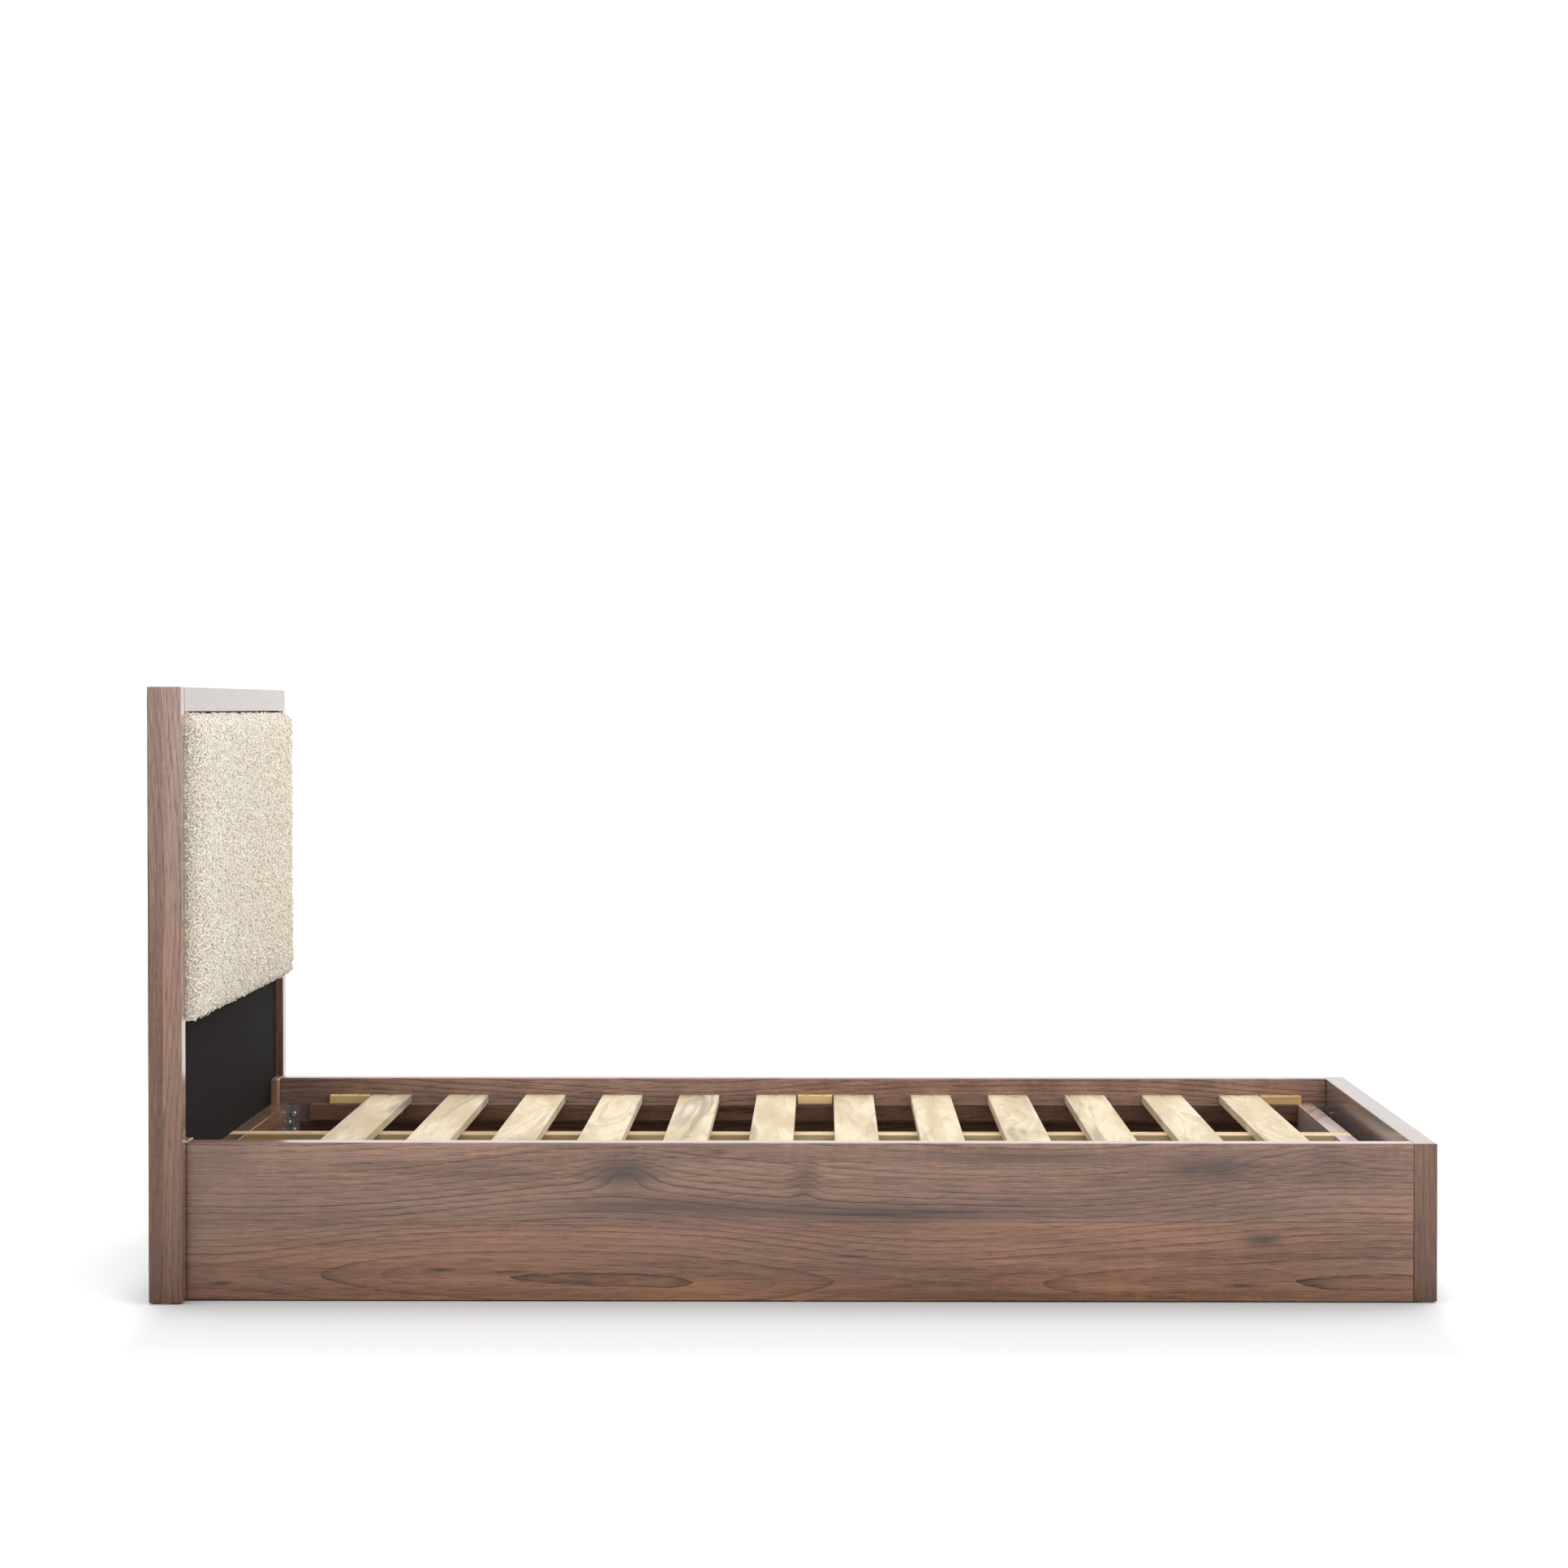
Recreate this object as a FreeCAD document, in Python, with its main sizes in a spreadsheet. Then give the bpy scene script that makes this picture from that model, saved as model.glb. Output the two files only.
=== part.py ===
import FreeCAD, Part
import math
import os

import Sketcher

# A twin bed of walnut boards: a flat box headboard with an upholstered panel, two side rails, a low
# footboard, and a slatted deck carried by ledges on the rails and a beam down the middle.
# Millimetres. X runs from the headboard to the footboard, Y across the bed, Z up. The origin is on
# the floor below the middle of the whole bed. "Near" is the -Y side and "far" the +Y side.

V = FreeCAD.Vector
NEAR = -1
FAR = 1
SIDES = ((NEAR, "near"), (FAR, "far"))
SLAT_COUNT = 12
CLEAT_SCREW_SLATS = (0, 2, 4, 7, 9, 11)  # slats that a ledge's own screws stand near
PANEL_SCREW_SHARES = (-0.75, -0.25, 0.25, 0.75)  # across the panel, from its middle
SPACER_SCREW_SHARES = (0.25, 0.75)  # along a spacer
SNAP = 0.01  # how near two faces count as level

SIZES = (
    ("mattress_length", 1925, "clear length between headboard and footboard"),
    ("mattress_width", 1005, "clear width between the side rails"),
    ("board", 37, "thickness of every walnut board"),
    ("edge_round", 2, "radius along the walnut edges"),
    ("pine_round", 1.2, "radius along the softwood edges"),
    ("sheet_round", 0.5, "edges of the back panel and the plywood"),
    ("leg_round", 3, ""),
    ("glide_height", 2, "nylon glides under the boards"),
    ("glide_diameter", 24, ""),
    ("rail_top", 250, "height of rails and footboard above the floor"),
    ("head_height", 965, "height of the headboard above the floor"),
    ("head_depth", 53, "depth of the headboard boards"),
    ("top_thick", 39, "the headboard's top board"),
    ("recess", 14, "headboard front to the back panel's front"),
    ("back_thick", 12, "back panel"),
    ("back_bottom", 15, "floor to the back panel's lower edge"),
    ("groove", 8, "depth of the back panel's grooves"),
    ("end_block_width", 71, "block that a rail butts against"),
    ("panel_bottom", 437, "floor to the upholstered panel"),
    ("panel_proud", 20.5, "panel's front beyond the headboard's front"),
    ("panel_gap", 1.5, "panel to the side boards"),
    ("panel_top_gap", 2, "panel to the top board"),
    ("panel_round", 16, "front edges of the panel"),
    ("cover_thick", 3, "boucle cover"),
    ("backing_thick", 12, "plywood in the panel"),
    ("deck_drop", 30, "rail top to slat top"),
    ("slat_thick", 15, ""),
    ("slat_width", 73, ""),
    ("slat_pitch", 141.6, ""),
    ("slat_start", 170, "headboard front to the first slat"),
    ("slat_gap", 2, "slat end to rail"),
    ("cleat", 30, "square section of the ledges"),
    ("cleat_start", 57, "headboard front to the ledges"),
    ("cross_thick", 30, "cross boards at head and foot"),
    ("cross_height", 120, ""),
    ("foot_gap", 25, "foot cross board to footboard"),
    ("beam_width", 50, ""),
    ("beam_height", 60, ""),
    ("tongue", 30, "height of the beam's ends, let into the cross boards"),
    ("leg_width", 45, "leg under the beam"),
    ("spacer_length", 74, "end spacer blocks"),
    ("spacer_depth", 24, ""),
    ("spacer_gap", 2.5, "spacer to slat"),
    ("bracket_leg", 19, "angle bracket, each leg"),
    ("bracket_height", 62, ""),
    ("bracket_thick", 2.5, ""),
    ("bracket_round", 0.6, ""),
    ("bracket_drop", 5, "ledge height to the bracket's top"),
    ("bolt_inset", 9, "bracket corner to its bolts"),
    ("bolt_drop", 22, "ledge height to the upper bolt"),
    ("bolt_spacing", 30, ""),
    ("bolt_diameter", 6, ""),
    ("bolt_length", 15, ""),
    ("bolt_head", 12, "button head's diameter"),
    ("bolt_rise", 3.4, "button head's height"),
    ("bolt_socket", 4.6, "hex socket across its corners"),
    ("insert_diameter", 8.6, "threaded insert"),
    ("insert_length", 14, ""),
    ("insert_room", 1, "hole beyond the insert"),
    ("screw_diameter", 4, ""),
    ("screw_head", 8, ""),
    ("slat_screw", 32, "screws of the slats and spacers"),
    ("slat_pilot", 19, "their holes in the ledges"),
    ("cleat_screw", 50, "screws of the ledges"),
    ("cleat_pilot", 21, "their holes in the rails"),
    ("cleat_screw_shift", 20, "slat's centre line to a ledge screw"),
    ("lap_screw", 25, "head cross board to end blocks"),
    ("lap_upper", 80, "ledge height to the upper lap screw"),
    ("lap_lower", 105, "ledge height to the lower lap screw"),
    ("panel_screw", 21, "back panel to plywood"),
    ("panel_screw_inset", 70, "panel's edge to its screws"),
    ("short_pilot", 10, "holes of the lap and panel screws"),
    ("dowel_diameter", 10, ""),
    ("dowel_length", 40, ""),
    ("dowel_chamfer", 1, ""),
    ("dowel_front", 9, "headboard front to the first dowel"),
    ("dowel_rear", 11, "headboard rear to the second dowel"),
    ("peg_upper", 35, "foot cross board's top to its upper dowel"),
    ("peg_lower", 30, "foot cross board's underside to its lower dowel"),
    ("stud_diameter", 8, "stud between leg and beam"),
    ("stud_length", 60, ""),
    ("stud_room", 1, "hole beyond the stud"),
    ("glide_chamfer", 0.6, ""),
    ("fit", 0.2, "clearance of a joint"),
)

doc = FreeCAD.newDocument("PanelBed")
sheet = doc.addObject("Spreadsheet::Sheet", "Sizes")
for row, (alias, number, note) in enumerate(SIZES, start=1):
    sheet.set(f"A{row}", alias)
    sheet.set(f"B{row}", str(number))
    sheet.setAlias(f"B{row}", alias)
    sheet.set(f"C{row}", note)
doc.recompute()

parts = []
corners = {}


def value(rule):
    """The number that an expression on the sheet gives."""
    return float(sheet.evalExpression(str(rule)))


# Places that many pieces share, as expressions on the sheet.
FRONT = "((Sizes.head_depth - Sizes.mattress_length - Sizes.board) / 2)"
FOOT = f"({FRONT} + Sizes.mattress_length)"
INNER = "(Sizes.mattress_width / 2)"
OUTER = f"({INNER} + Sizes.board)"
GLIDE = "Sizes.glide_height"
DECK = "(Sizes.rail_top - Sizes.deck_drop)"
LEDGE = f"({DECK} - Sizes.slat_thick)"
BACK = f"({FRONT} - Sizes.recess)"
HEAD_FACE = f"({BACK} + Sizes.cross_thick)"
FOOT_FACE = f"({FOOT} - Sizes.foot_gap - Sizes.cross_thick)"
BOARD_HEIGHT = "(Sizes.rail_top - Sizes.glide_height)"


# Making bodies, sketches and features.
def new_body(name, at):
    """A body whose own origin is bound to the place that the three rules give."""
    body = doc.addObject("PartDesign::Body", name)
    body.Label = name
    for axis, rule in zip("xyz", at):
        body.setExpression(f"Placement.Base.{axis}", str(rule))
    corners[name] = at
    parts.append(body)
    return body


def sketch_on(body, role, name, lift=None):
    """A sketch on one of the body's own planes, or lifted off it along the plane's normal."""
    sketch = body.newObject("Sketcher::SketchObject", name)
    plane = next(p for p in body.Origin.OriginFeatures if p.Role == role)
    sketch.AttachmentSupport = (plane, [""])
    sketch.MapMode = "FlatFace"
    if lift is not None:
        sketch.setExpression("AttachmentOffset.Base.z", lift)
    return sketch


def fix_point(sketch, index, vertex, across, along):
    """Holds a sketch point at two rules, measured from the sketch's origin."""
    for kind, axis, rule in (("DistanceX", -2, across), ("DistanceY", -1, along)):
        number = value(rule)
        if abs(number) < 1e-9:
            sketch.addConstraint(Sketcher.Constraint("PointOnObject", index, vertex, axis))
            continue
        held = Sketcher.Constraint(kind, -1, 1, index, vertex, number)
        sketch.setExpression(f"Constraints[{sketch.addConstraint(held)}]", str(rule))


def polygon(sketch, rules):
    """A closed outline through points given as pairs of rules."""
    points = [V(value(across), value(along), 0) for across, along in rules]
    first = sketch.GeometryCount
    count = len(points)
    for i in range(count):
        sketch.addGeometry(Part.LineSegment(points[i], points[(i + 1) % count]), False)
    for i in range(count):
        follows = first + (i + 1) % count
        sketch.addConstraint(Sketcher.Constraint("Coincident", first + i, 2, follows, 1))
    for i, (across, along) in enumerate(rules):
        fix_point(sketch, first + i, 1, across, along)


def rectangle(sketch, low, high):
    """A rectangle between two corners, each a pair of rules."""
    polygon(sketch, [low, (high[0], low[1]), high, (low[0], high[1])])


def pad(body, sketch, length, reverse):
    feature = body.newObject("PartDesign::Pad", body.Name + "_pad")
    feature.Profile = sketch
    feature.setExpression("Length", str(length))
    feature.Reversed = reverse
    doc.recompute()
    return feature


def round_edges(body, radius, wanted=None):
    """Rounds every edge of the body so far, or those that wanted accepts."""
    base = body.Tip
    feature = body.newObject("PartDesign::Fillet", body.Name + "_round")
    if wanted is None:
        feature.Base = (base, ["Edge1"])
        feature.UseAllEdges = True
    else:
        edges = enumerate(base.Shape.Edges, start=1)
        feature.Base = (base, [f"Edge{i}" for i, edge in edges if wanted(edge)])
    feature.setExpression("Radius", str(radius))
    doc.recompute()


def cut(body, sketch, depth, reverse):
    """A pocket, refused if it takes nothing away."""
    before = body.Shape.Volume
    feature = body.newObject("PartDesign::Pocket", sketch.Name + "_cut")
    feature.Profile = sketch
    feature.setExpression("Length", str(depth))
    feature.Reversed = reverse
    doc.recompute()
    if body.Shape.Volume > before - 1:
        raise ValueError(f"{sketch.Name} cuts nothing from {body.Name}")


def circles(body, role, points, diameter, name, lift=None):
    """A sketch of circles at places given in the bed's frame."""
    sketch = sketch_on(body, role, name, lift)
    own = corners[body.Name]
    pick = {"XY_Plane": (0, 1), "XZ_Plane": (0, 2), "YZ_Plane": (1, 2)}[role]
    for point in points:
        across, along = (f"({point[k]}) - ({own[k]})" for k in pick)
        centre = V(value(across), value(along), 0)
        index = sketch.addGeometry(Part.Circle(centre, V(0, 0, 1), value(diameter) / 2), False)
        fix_point(sketch, index, 3, across, along)
        held = Sketcher.Constraint("Diameter", index, value(diameter))
        sketch.setExpression(f"Constraints[{sketch.addConstraint(held)}]", str(diameter))
    return sketch


def drill(body, role, points, diameter, depth, name, reverse, lift=None):
    """Round blind holes from one plane of the body."""
    sketch = circles(body, role, points, diameter, f"{body.Name}_{name}", lift)
    cut(body, sketch, depth, reverse)


def countersink(body, role, points, name, reverse, lift=None):
    """Screw holes right through the body, countersunk on the plane's side."""
    sketch = circles(body, role, points, "Sizes.screw_diameter", f"{body.Name}_{name}", lift)
    doc.recompute()
    before = body.Shape.Volume
    feature = body.newObject("PartDesign::Hole", sketch.Name + "_hole")
    feature.Profile = sketch
    doc.recompute()
    feature.ThreadType = "None"
    feature.DepthType = "ThroughAll"
    feature.HoleCutType = "Countersink"
    feature.HoleCutCustomValues = True
    feature.HoleCutCountersinkAngle = 90
    feature.setExpression("Diameter", "Sizes.screw_diameter")
    feature.setExpression("HoleCutDiameter", "Sizes.screw_head + Sizes.fit")
    feature.Reversed = reverse
    doc.recompute()
    if body.Shape.Volume > before - 1:
        raise ValueError(f"{sketch.Name} cuts nothing from {body.Name}")


def board(name, at, size, grow, rounding="Sizes.edge_round"):
    """A rectangular board with one corner at its own origin, growing along the three signs."""
    body = new_body(name, at)
    sketch = sketch_on(body, "XY_Plane", name + "_outline")
    rectangle(sketch, ("0", "0"), (f"{grow[0]} * ({size[0]})", f"{grow[1]} * ({size[1]})"))
    pad(body, sketch, size[2], grow[2] < 0)
    round_edges(body, rounding)
    return body


# Fasteners, as plain solids along +Z with the head's seat at z = 0.
def screw_solid(length):
    """A countersunk screw: its flat head is level with z = 0."""
    shank = value("Sizes.screw_diameter") / 2
    head = value("Sizes.screw_head") / 2
    cone = Part.makeCone(shank, head, head - shank, V(0, 0, shank - head))
    return cone.fuse(Part.makeCylinder(shank, length, V(0, 0, -length))).removeSplitter()


def bolt_solid():
    """A button-head bolt with a hex socket."""
    head = value("Sizes.bolt_head") / 2
    shank = value("Sizes.bolt_diameter") / 2
    length = value("Sizes.bolt_length")
    rise = value("Sizes.bolt_rise")
    dome = Part.makeCylinder(head, rise)
    dome = dome.makeFillet(rise * 0.75, [e for e in dome.Edges if e.BoundBox.ZMin > rise / 2])
    reach = value("Sizes.bolt_socket") / 2
    turns = [math.radians(60 * k) for k in range(7)]
    hexagon = Part.makePolygon([V(reach * math.cos(t), reach * math.sin(t), 0) for t in turns])
    socket = Part.Face(hexagon).extrude(V(0, 0, rise))
    socket.translate(V(0, 0, rise * 0.35))
    body = dome.fuse(Part.makeCylinder(shank, length, V(0, 0, -length)))
    return body.removeSplitter().cut(socket)


def dowel_solid():
    """A dowel centred on the origin, with chamfered ends."""
    radius = value("Sizes.dowel_diameter - Sizes.fit") / 2
    length = value("Sizes.dowel_length - 2 * Sizes.fit")
    peg = Part.makeCylinder(radius, length, V(0, 0, -length / 2))
    rims = [e for e in peg.Edges if e.Closed and len(e.Vertexes) == 1]
    return peg.makeChamfer(value("Sizes.dowel_chamfer"), rims)


def placed(solid, point, out):
    """A copy of the solid at three rules, turned so that its +Z looks along out."""
    copy = solid.copy()
    turn = FreeCAD.Rotation(V(0, 0, 1), V(*out))
    copy.Placement = FreeCAD.Placement(V(*(value(rule) for rule in point)), turn)
    return copy


def group(name, solids):
    """Identical fasteners as one object of separate solids."""
    feature = doc.addObject("Part::Feature", name)
    feature.Label = name
    feature.Shape = Part.makeCompound(solids)
    feature.Placement = FreeCAD.Placement()
    parts.append(feature)


# Headboard: two side boards, a top board between them and the back panel in their grooves.
TOP_BOTTOM = "(Sizes.head_height - Sizes.top_thick)"
GROOVE_NEAR = f"({BACK} - Sizes.back_thick - Sizes.fit)"
DOWEL_Z = "(Sizes.head_height - Sizes.top_thick / 2)"
DOWEL_XS = (f"({FRONT} - Sizes.dowel_front)", f"({FRONT} - Sizes.head_depth + Sizes.dowel_rear)")

for side, word in SIDES:
    name = f"headboard_side_{word}"
    at = (FRONT, f"{side} * {OUTER}", GLIDE)
    size = ("Sizes.head_depth", "Sizes.board", "(Sizes.head_height - Sizes.glide_height)")
    post = board(name, at, size, (-1, side, 1))
    slot = sketch_on(post, "XZ_Plane", name + "_groove")
    slot_low = (f"{GROOVE_NEAR} - {FRONT}", "0")
    slot_high = (f"{BACK} - {FRONT}", f"{TOP_BOTTOM} + Sizes.groove - {GLIDE}")
    rectangle(slot, slot_low, slot_high)
    cut(post, slot, "Sizes.groove", side == NEAR)
    pegs = [(x, "0", DOWEL_Z) for x in DOWEL_XS]
    drill(post, "XZ_Plane", pegs, "Sizes.dowel_diameter", "Sizes.dowel_length / 2", "dowels",
          side == NEAR)

top = board("headboard_top_board", (FRONT, f"-{OUTER}", TOP_BOTTOM),
            ("Sizes.head_depth", f"2 * {OUTER}", "Sizes.top_thick"), (-1, 1, 1))
slot = sketch_on(top, "XY_Plane", "headboard_top_groove")
rectangle(slot, (f"{GROOVE_NEAR} - {FRONT}", "0"), (f"{BACK} - {FRONT}", f"2 * {OUTER}"))
cut(top, slot, "Sizes.groove", True)
pegs = [(x, "0", DOWEL_Z) for x in DOWEL_XS]
drill(top, "XZ_Plane", pegs, "Sizes.dowel_diameter", "Sizes.dowel_length / 2", "near_dowels", False)
drill(top, "XZ_Plane", pegs, "Sizes.dowel_diameter", "Sizes.dowel_length / 2", "far_dowels", True,
      lift=f"-2 * {OUTER}")

REACH = f"({OUTER} + Sizes.groove - Sizes.fit)"
back = board("headboard_back_panel", (f"{BACK} - Sizes.back_thick", f"-{REACH}", "Sizes.back_bottom"),
             ("Sizes.back_thick", f"2 * {REACH}",
              f"{TOP_BOTTOM} + Sizes.groove - Sizes.fit - Sizes.back_bottom"), (1, 1, 1),
             "Sizes.sheet_round")
PANEL_TOP = f"({TOP_BOTTOM} - Sizes.panel_top_gap)"
PANEL_SIDE = f"({OUTER} - Sizes.panel_gap)"
screw_ys = [f"{share} * {OUTER}" for share in PANEL_SCREW_SHARES]
screw_zs = ("(Sizes.panel_bottom + Sizes.panel_screw_inset)", f"({PANEL_TOP} - Sizes.panel_screw_inset)")
panel_screw_spots = [(f"{BACK} - Sizes.back_thick", y, z) for y in screw_ys for z in screw_zs]
countersink(back, "YZ_Plane", panel_screw_spots, "screws", True)

# Upholstered panel: plywood, foam and the cover wrapped over both, open at the back.
PANEL_BACK = f"({BACK} + Sizes.fit)"
PANEL_DEPTH = "(Sizes.recess + Sizes.panel_proud - Sizes.fit)"
CORE_LOW = "(Sizes.panel_bottom + Sizes.cover_thick + Sizes.fit)"
CORE_HIGH = f"({PANEL_TOP} - Sizes.cover_thick - Sizes.fit)"
CORE_SIDE = f"({PANEL_SIDE} - Sizes.cover_thick - Sizes.fit)"


def faces_front(edge):
    """True for an edge that lies in the front face of a piece of the panel."""
    box = edge.BoundBox
    return box.XLength < SNAP and box.XMin > 1


cover = new_body("panel_cover", (PANEL_BACK, f"-{PANEL_SIDE}", "Sizes.panel_bottom"))
outline = sketch_on(cover, "YZ_Plane", "panel_cover_outline")
rectangle(outline, ("0", "0"), (f"2 * {PANEL_SIDE}", f"{PANEL_TOP} - Sizes.panel_bottom"))
pad(cover, outline, PANEL_DEPTH, False)
round_edges(cover, "Sizes.panel_round", faces_front)
shell = cover.newObject("PartDesign::Thickness", "panel_cover_shell")
rear = next(f"Face{i}" for i, face in enumerate(cover.Shape.Faces, start=1)
            if face.BoundBox.XLength < SNAP and face.BoundBox.XMin < value(PANEL_BACK) + 1)
shell.Base = (doc.getObject("panel_cover_round"), [rear])
shell.setExpression("Value", "Sizes.cover_thick")
shell.Reversed = True
doc.recompute()

ply = board("panel_backing_board", (PANEL_BACK, f"-{CORE_SIDE}", CORE_LOW),
            ("Sizes.backing_thick", f"2 * {CORE_SIDE}", f"{CORE_HIGH} - {CORE_LOW}"), (1, 1, 1),
            "Sizes.sheet_round")
ply_spots = [(PANEL_BACK, y, z) for _, y, z in panel_screw_spots]
drill(ply, "YZ_Plane", ply_spots, "Sizes.screw_diameter", "Sizes.short_pilot", "screws", True)

foam = new_body("panel_foam", (f"{PANEL_BACK} + Sizes.backing_thick + Sizes.fit", f"-{CORE_SIDE}", CORE_LOW))
outline = sketch_on(foam, "YZ_Plane", "panel_foam_outline")
rectangle(outline, ("0", "0"), (f"2 * {CORE_SIDE}", f"{CORE_HIGH} - {CORE_LOW}"))
pad(foam, outline, f"{PANEL_DEPTH} - Sizes.backing_thick - Sizes.cover_thick - 2 * Sizes.fit", False)
round_edges(foam, "Sizes.panel_round - Sizes.cover_thick", faces_front)

# Rails, footboard and the blocks in the headboard's recess that the rails butt against.
BOLT_ZS = (f"({LEDGE} - Sizes.bolt_drop)", f"({LEDGE} - Sizes.bolt_drop - Sizes.bolt_spacing)")
BOLT_MID = f"({LEDGE} - Sizes.bolt_drop - Sizes.bolt_spacing / 2)"
HEAD_BOLT_X = f"({HEAD_FACE} + Sizes.bolt_inset)"
FOOT_BOLT_X = f"({FOOT} - Sizes.bolt_inset)"
CLEAT_Z = f"({LEDGE} - Sizes.cleat / 2)"
CLEAT_Y = f"({INNER} - Sizes.cleat / 2)"
INSERT_HOLE = "(Sizes.insert_length + Sizes.insert_room)"
FOOT_PEG_X = f"({FOOT_FACE} + Sizes.cross_thick / 2)"
FOOT_PEG_ZS = (f"({LEDGE} - Sizes.peg_upper)", f"({LEDGE} - Sizes.cross_height + Sizes.peg_lower)")
LAP_SCREW_ZS = (f"({LEDGE} - Sizes.lap_upper)", f"({LEDGE} - Sizes.lap_lower)")


def slat_middle(index):
    """The x of a slat's centre line."""
    return f"({FRONT} + Sizes.slat_start + Sizes.slat_width / 2 + {index} * Sizes.slat_pitch)"


cleat_screw_xs = [f"({slat_middle(i)} + Sizes.cleat_screw_shift)" for i in CLEAT_SCREW_SLATS]

for side, word in SIDES:
    face = f"{side} * {INNER}"
    block = board(f"rail_end_block_{word}", (BACK, f"{side} * ({OUTER} - Sizes.fit)", GLIDE),
                  ("Sizes.recess", "Sizes.end_block_width", BOARD_HEIGHT), (1, -side, 1))
    block_screw_y = f"{side} * ({INNER} - (Sizes.end_block_width - Sizes.board) / 2)"
    block_spots = [(FRONT, block_screw_y, z) for z in LAP_SCREW_ZS]
    drill(block, "YZ_Plane", block_spots, "Sizes.screw_diameter", "Sizes.short_pilot", "screws", False,
          lift="Sizes.recess")

    rail = board(f"side_rail_{word}", (FRONT, face, GLIDE),
                 ("Sizes.mattress_length", "Sizes.board", BOARD_HEIGHT), (1, side, 1))
    inserts = [(x, face, z) for x in (HEAD_BOLT_X, FOOT_BOLT_X) for z in BOLT_ZS]
    drill(rail, "XZ_Plane", inserts, "Sizes.insert_diameter", INSERT_HOLE, "inserts", side == NEAR)
    screws = [(x, face, CLEAT_Z) for x in cleat_screw_xs]
    drill(rail, "XZ_Plane", screws, "Sizes.screw_diameter", "Sizes.cleat_pilot", "screws", side == NEAR)
    pegs = [(FOOT_PEG_X, face, z) for z in FOOT_PEG_ZS]
    drill(rail, "XZ_Plane", pegs, "Sizes.dowel_diameter", "Sizes.dowel_length / 2", "dowels", side == NEAR)

footboard = board("footboard", (FOOT, f"-{OUTER}", GLIDE),
                  ("Sizes.board", f"2 * {OUTER}", BOARD_HEIGHT), (1, 1, 1))
foot_inserts = [(FOOT, f"{side} * ({INNER} - Sizes.bolt_inset)", BOLT_MID) for side, _ in SIDES]
drill(footboard, "YZ_Plane", foot_inserts, "Sizes.insert_diameter", INSERT_HOLE, "inserts", True)

# Cross boards. The head one laps over the end blocks. Both have a notch for the beam.
CROSS_SIDE = f"({INNER} - Sizes.fit)"
LAP = f"({OUTER} - Sizes.end_block_width - 2 * Sizes.fit)"


def notch(body, back_rule):
    """The open notch in a cross board's top for the beam's end."""
    slot = sketch_on(body, "XY_Plane", body.Name + "_notch")
    half = "(Sizes.beam_width / 2 + Sizes.fit)"
    rectangle(slot, ("0", f"{back_rule} - {half}"), ("Sizes.cross_thick", f"{back_rule} + {half}"))
    cut(body, slot, "Sizes.tongue + Sizes.fit", False)


cross = new_body("head_cross_board", (BACK, "0", LEDGE))
outline = sketch_on(cross, "XY_Plane", "head_cross_outline")
step = "(Sizes.recess + Sizes.fit)"
polygon(outline, [("0", f"-{LAP}"), (step, f"-{LAP}"), (step, f"-{CROSS_SIDE}"),
                  ("Sizes.cross_thick", f"-{CROSS_SIDE}"), ("Sizes.cross_thick", CROSS_SIDE),
                  (step, CROSS_SIDE), (step, LAP), ("0", LAP)])
pad(cross, outline, "Sizes.cross_height", True)
round_edges(cross, "Sizes.pine_round")
notch(cross, "0")
lap_spots = [(HEAD_FACE, f"{side} * ({INNER} - (Sizes.end_block_width - Sizes.board) / 2)", z)
             for side, _ in SIDES for z in LAP_SCREW_ZS]
countersink(cross, "YZ_Plane", lap_spots, "screws", False, lift="Sizes.cross_thick")
head_inserts = [(HEAD_FACE, f"{side} * ({INNER} - Sizes.bolt_inset)", BOLT_MID) for side, _ in SIDES]
drill(cross, "YZ_Plane", head_inserts, "Sizes.insert_diameter", INSERT_HOLE, "inserts", False,
      lift="Sizes.cross_thick")

cross = board("foot_cross_board", (FOOT_FACE, f"-{CROSS_SIDE}", LEDGE),
              ("Sizes.cross_thick", f"2 * {CROSS_SIDE}", "Sizes.cross_height"), (1, 1, -1),
              "Sizes.pine_round")
notch(cross, CROSS_SIDE)
pegs = [(FOOT_PEG_X, "0", z) for z in FOOT_PEG_ZS]
drill(cross, "XZ_Plane", pegs, "Sizes.dowel_diameter", "Sizes.dowel_length / 2", "near_dowels", False)
drill(cross, "XZ_Plane", pegs, "Sizes.dowel_diameter", "Sizes.dowel_length / 2", "far_dowels", True,
      lift=f"-2 * {CROSS_SIDE}")

# Ledges on the rails. Their screws are hidden under the slats.
SPACER_Y = f"({INNER} - Sizes.spacer_depth / 2)"
MIDDLE_LENGTH = "(Sizes.slat_pitch - Sizes.slat_width - 2 * Sizes.spacer_gap)"
HEAD_SPACER = f"({FRONT} + Sizes.slat_start - Sizes.spacer_gap - Sizes.spacer_length)"
MIDDLE_SPACER = f"({slat_middle(SLAT_COUNT // 2 - 1)} + Sizes.slat_width / 2 + Sizes.spacer_gap)"
FOOT_SPACER = f"({slat_middle(SLAT_COUNT - 1)} + Sizes.slat_width / 2 + Sizes.spacer_gap)"
SPACERS = (
    ("head", HEAD_SPACER, "Sizes.spacer_length"),
    ("middle", MIDDLE_SPACER, MIDDLE_LENGTH),
    ("foot", FOOT_SPACER, "Sizes.spacer_length"),
)
spacer_screw_xs = [f"({start} + {share} * {length})"
                   for _, start, length in SPACERS for share in SPACER_SCREW_SHARES]
slat_screw_xs = [slat_middle(i) for i in range(SLAT_COUNT)]
CLEAT_LENGTH = f"({FOOT_FACE} - {FRONT} - Sizes.cleat_start - Sizes.fit)"

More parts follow.
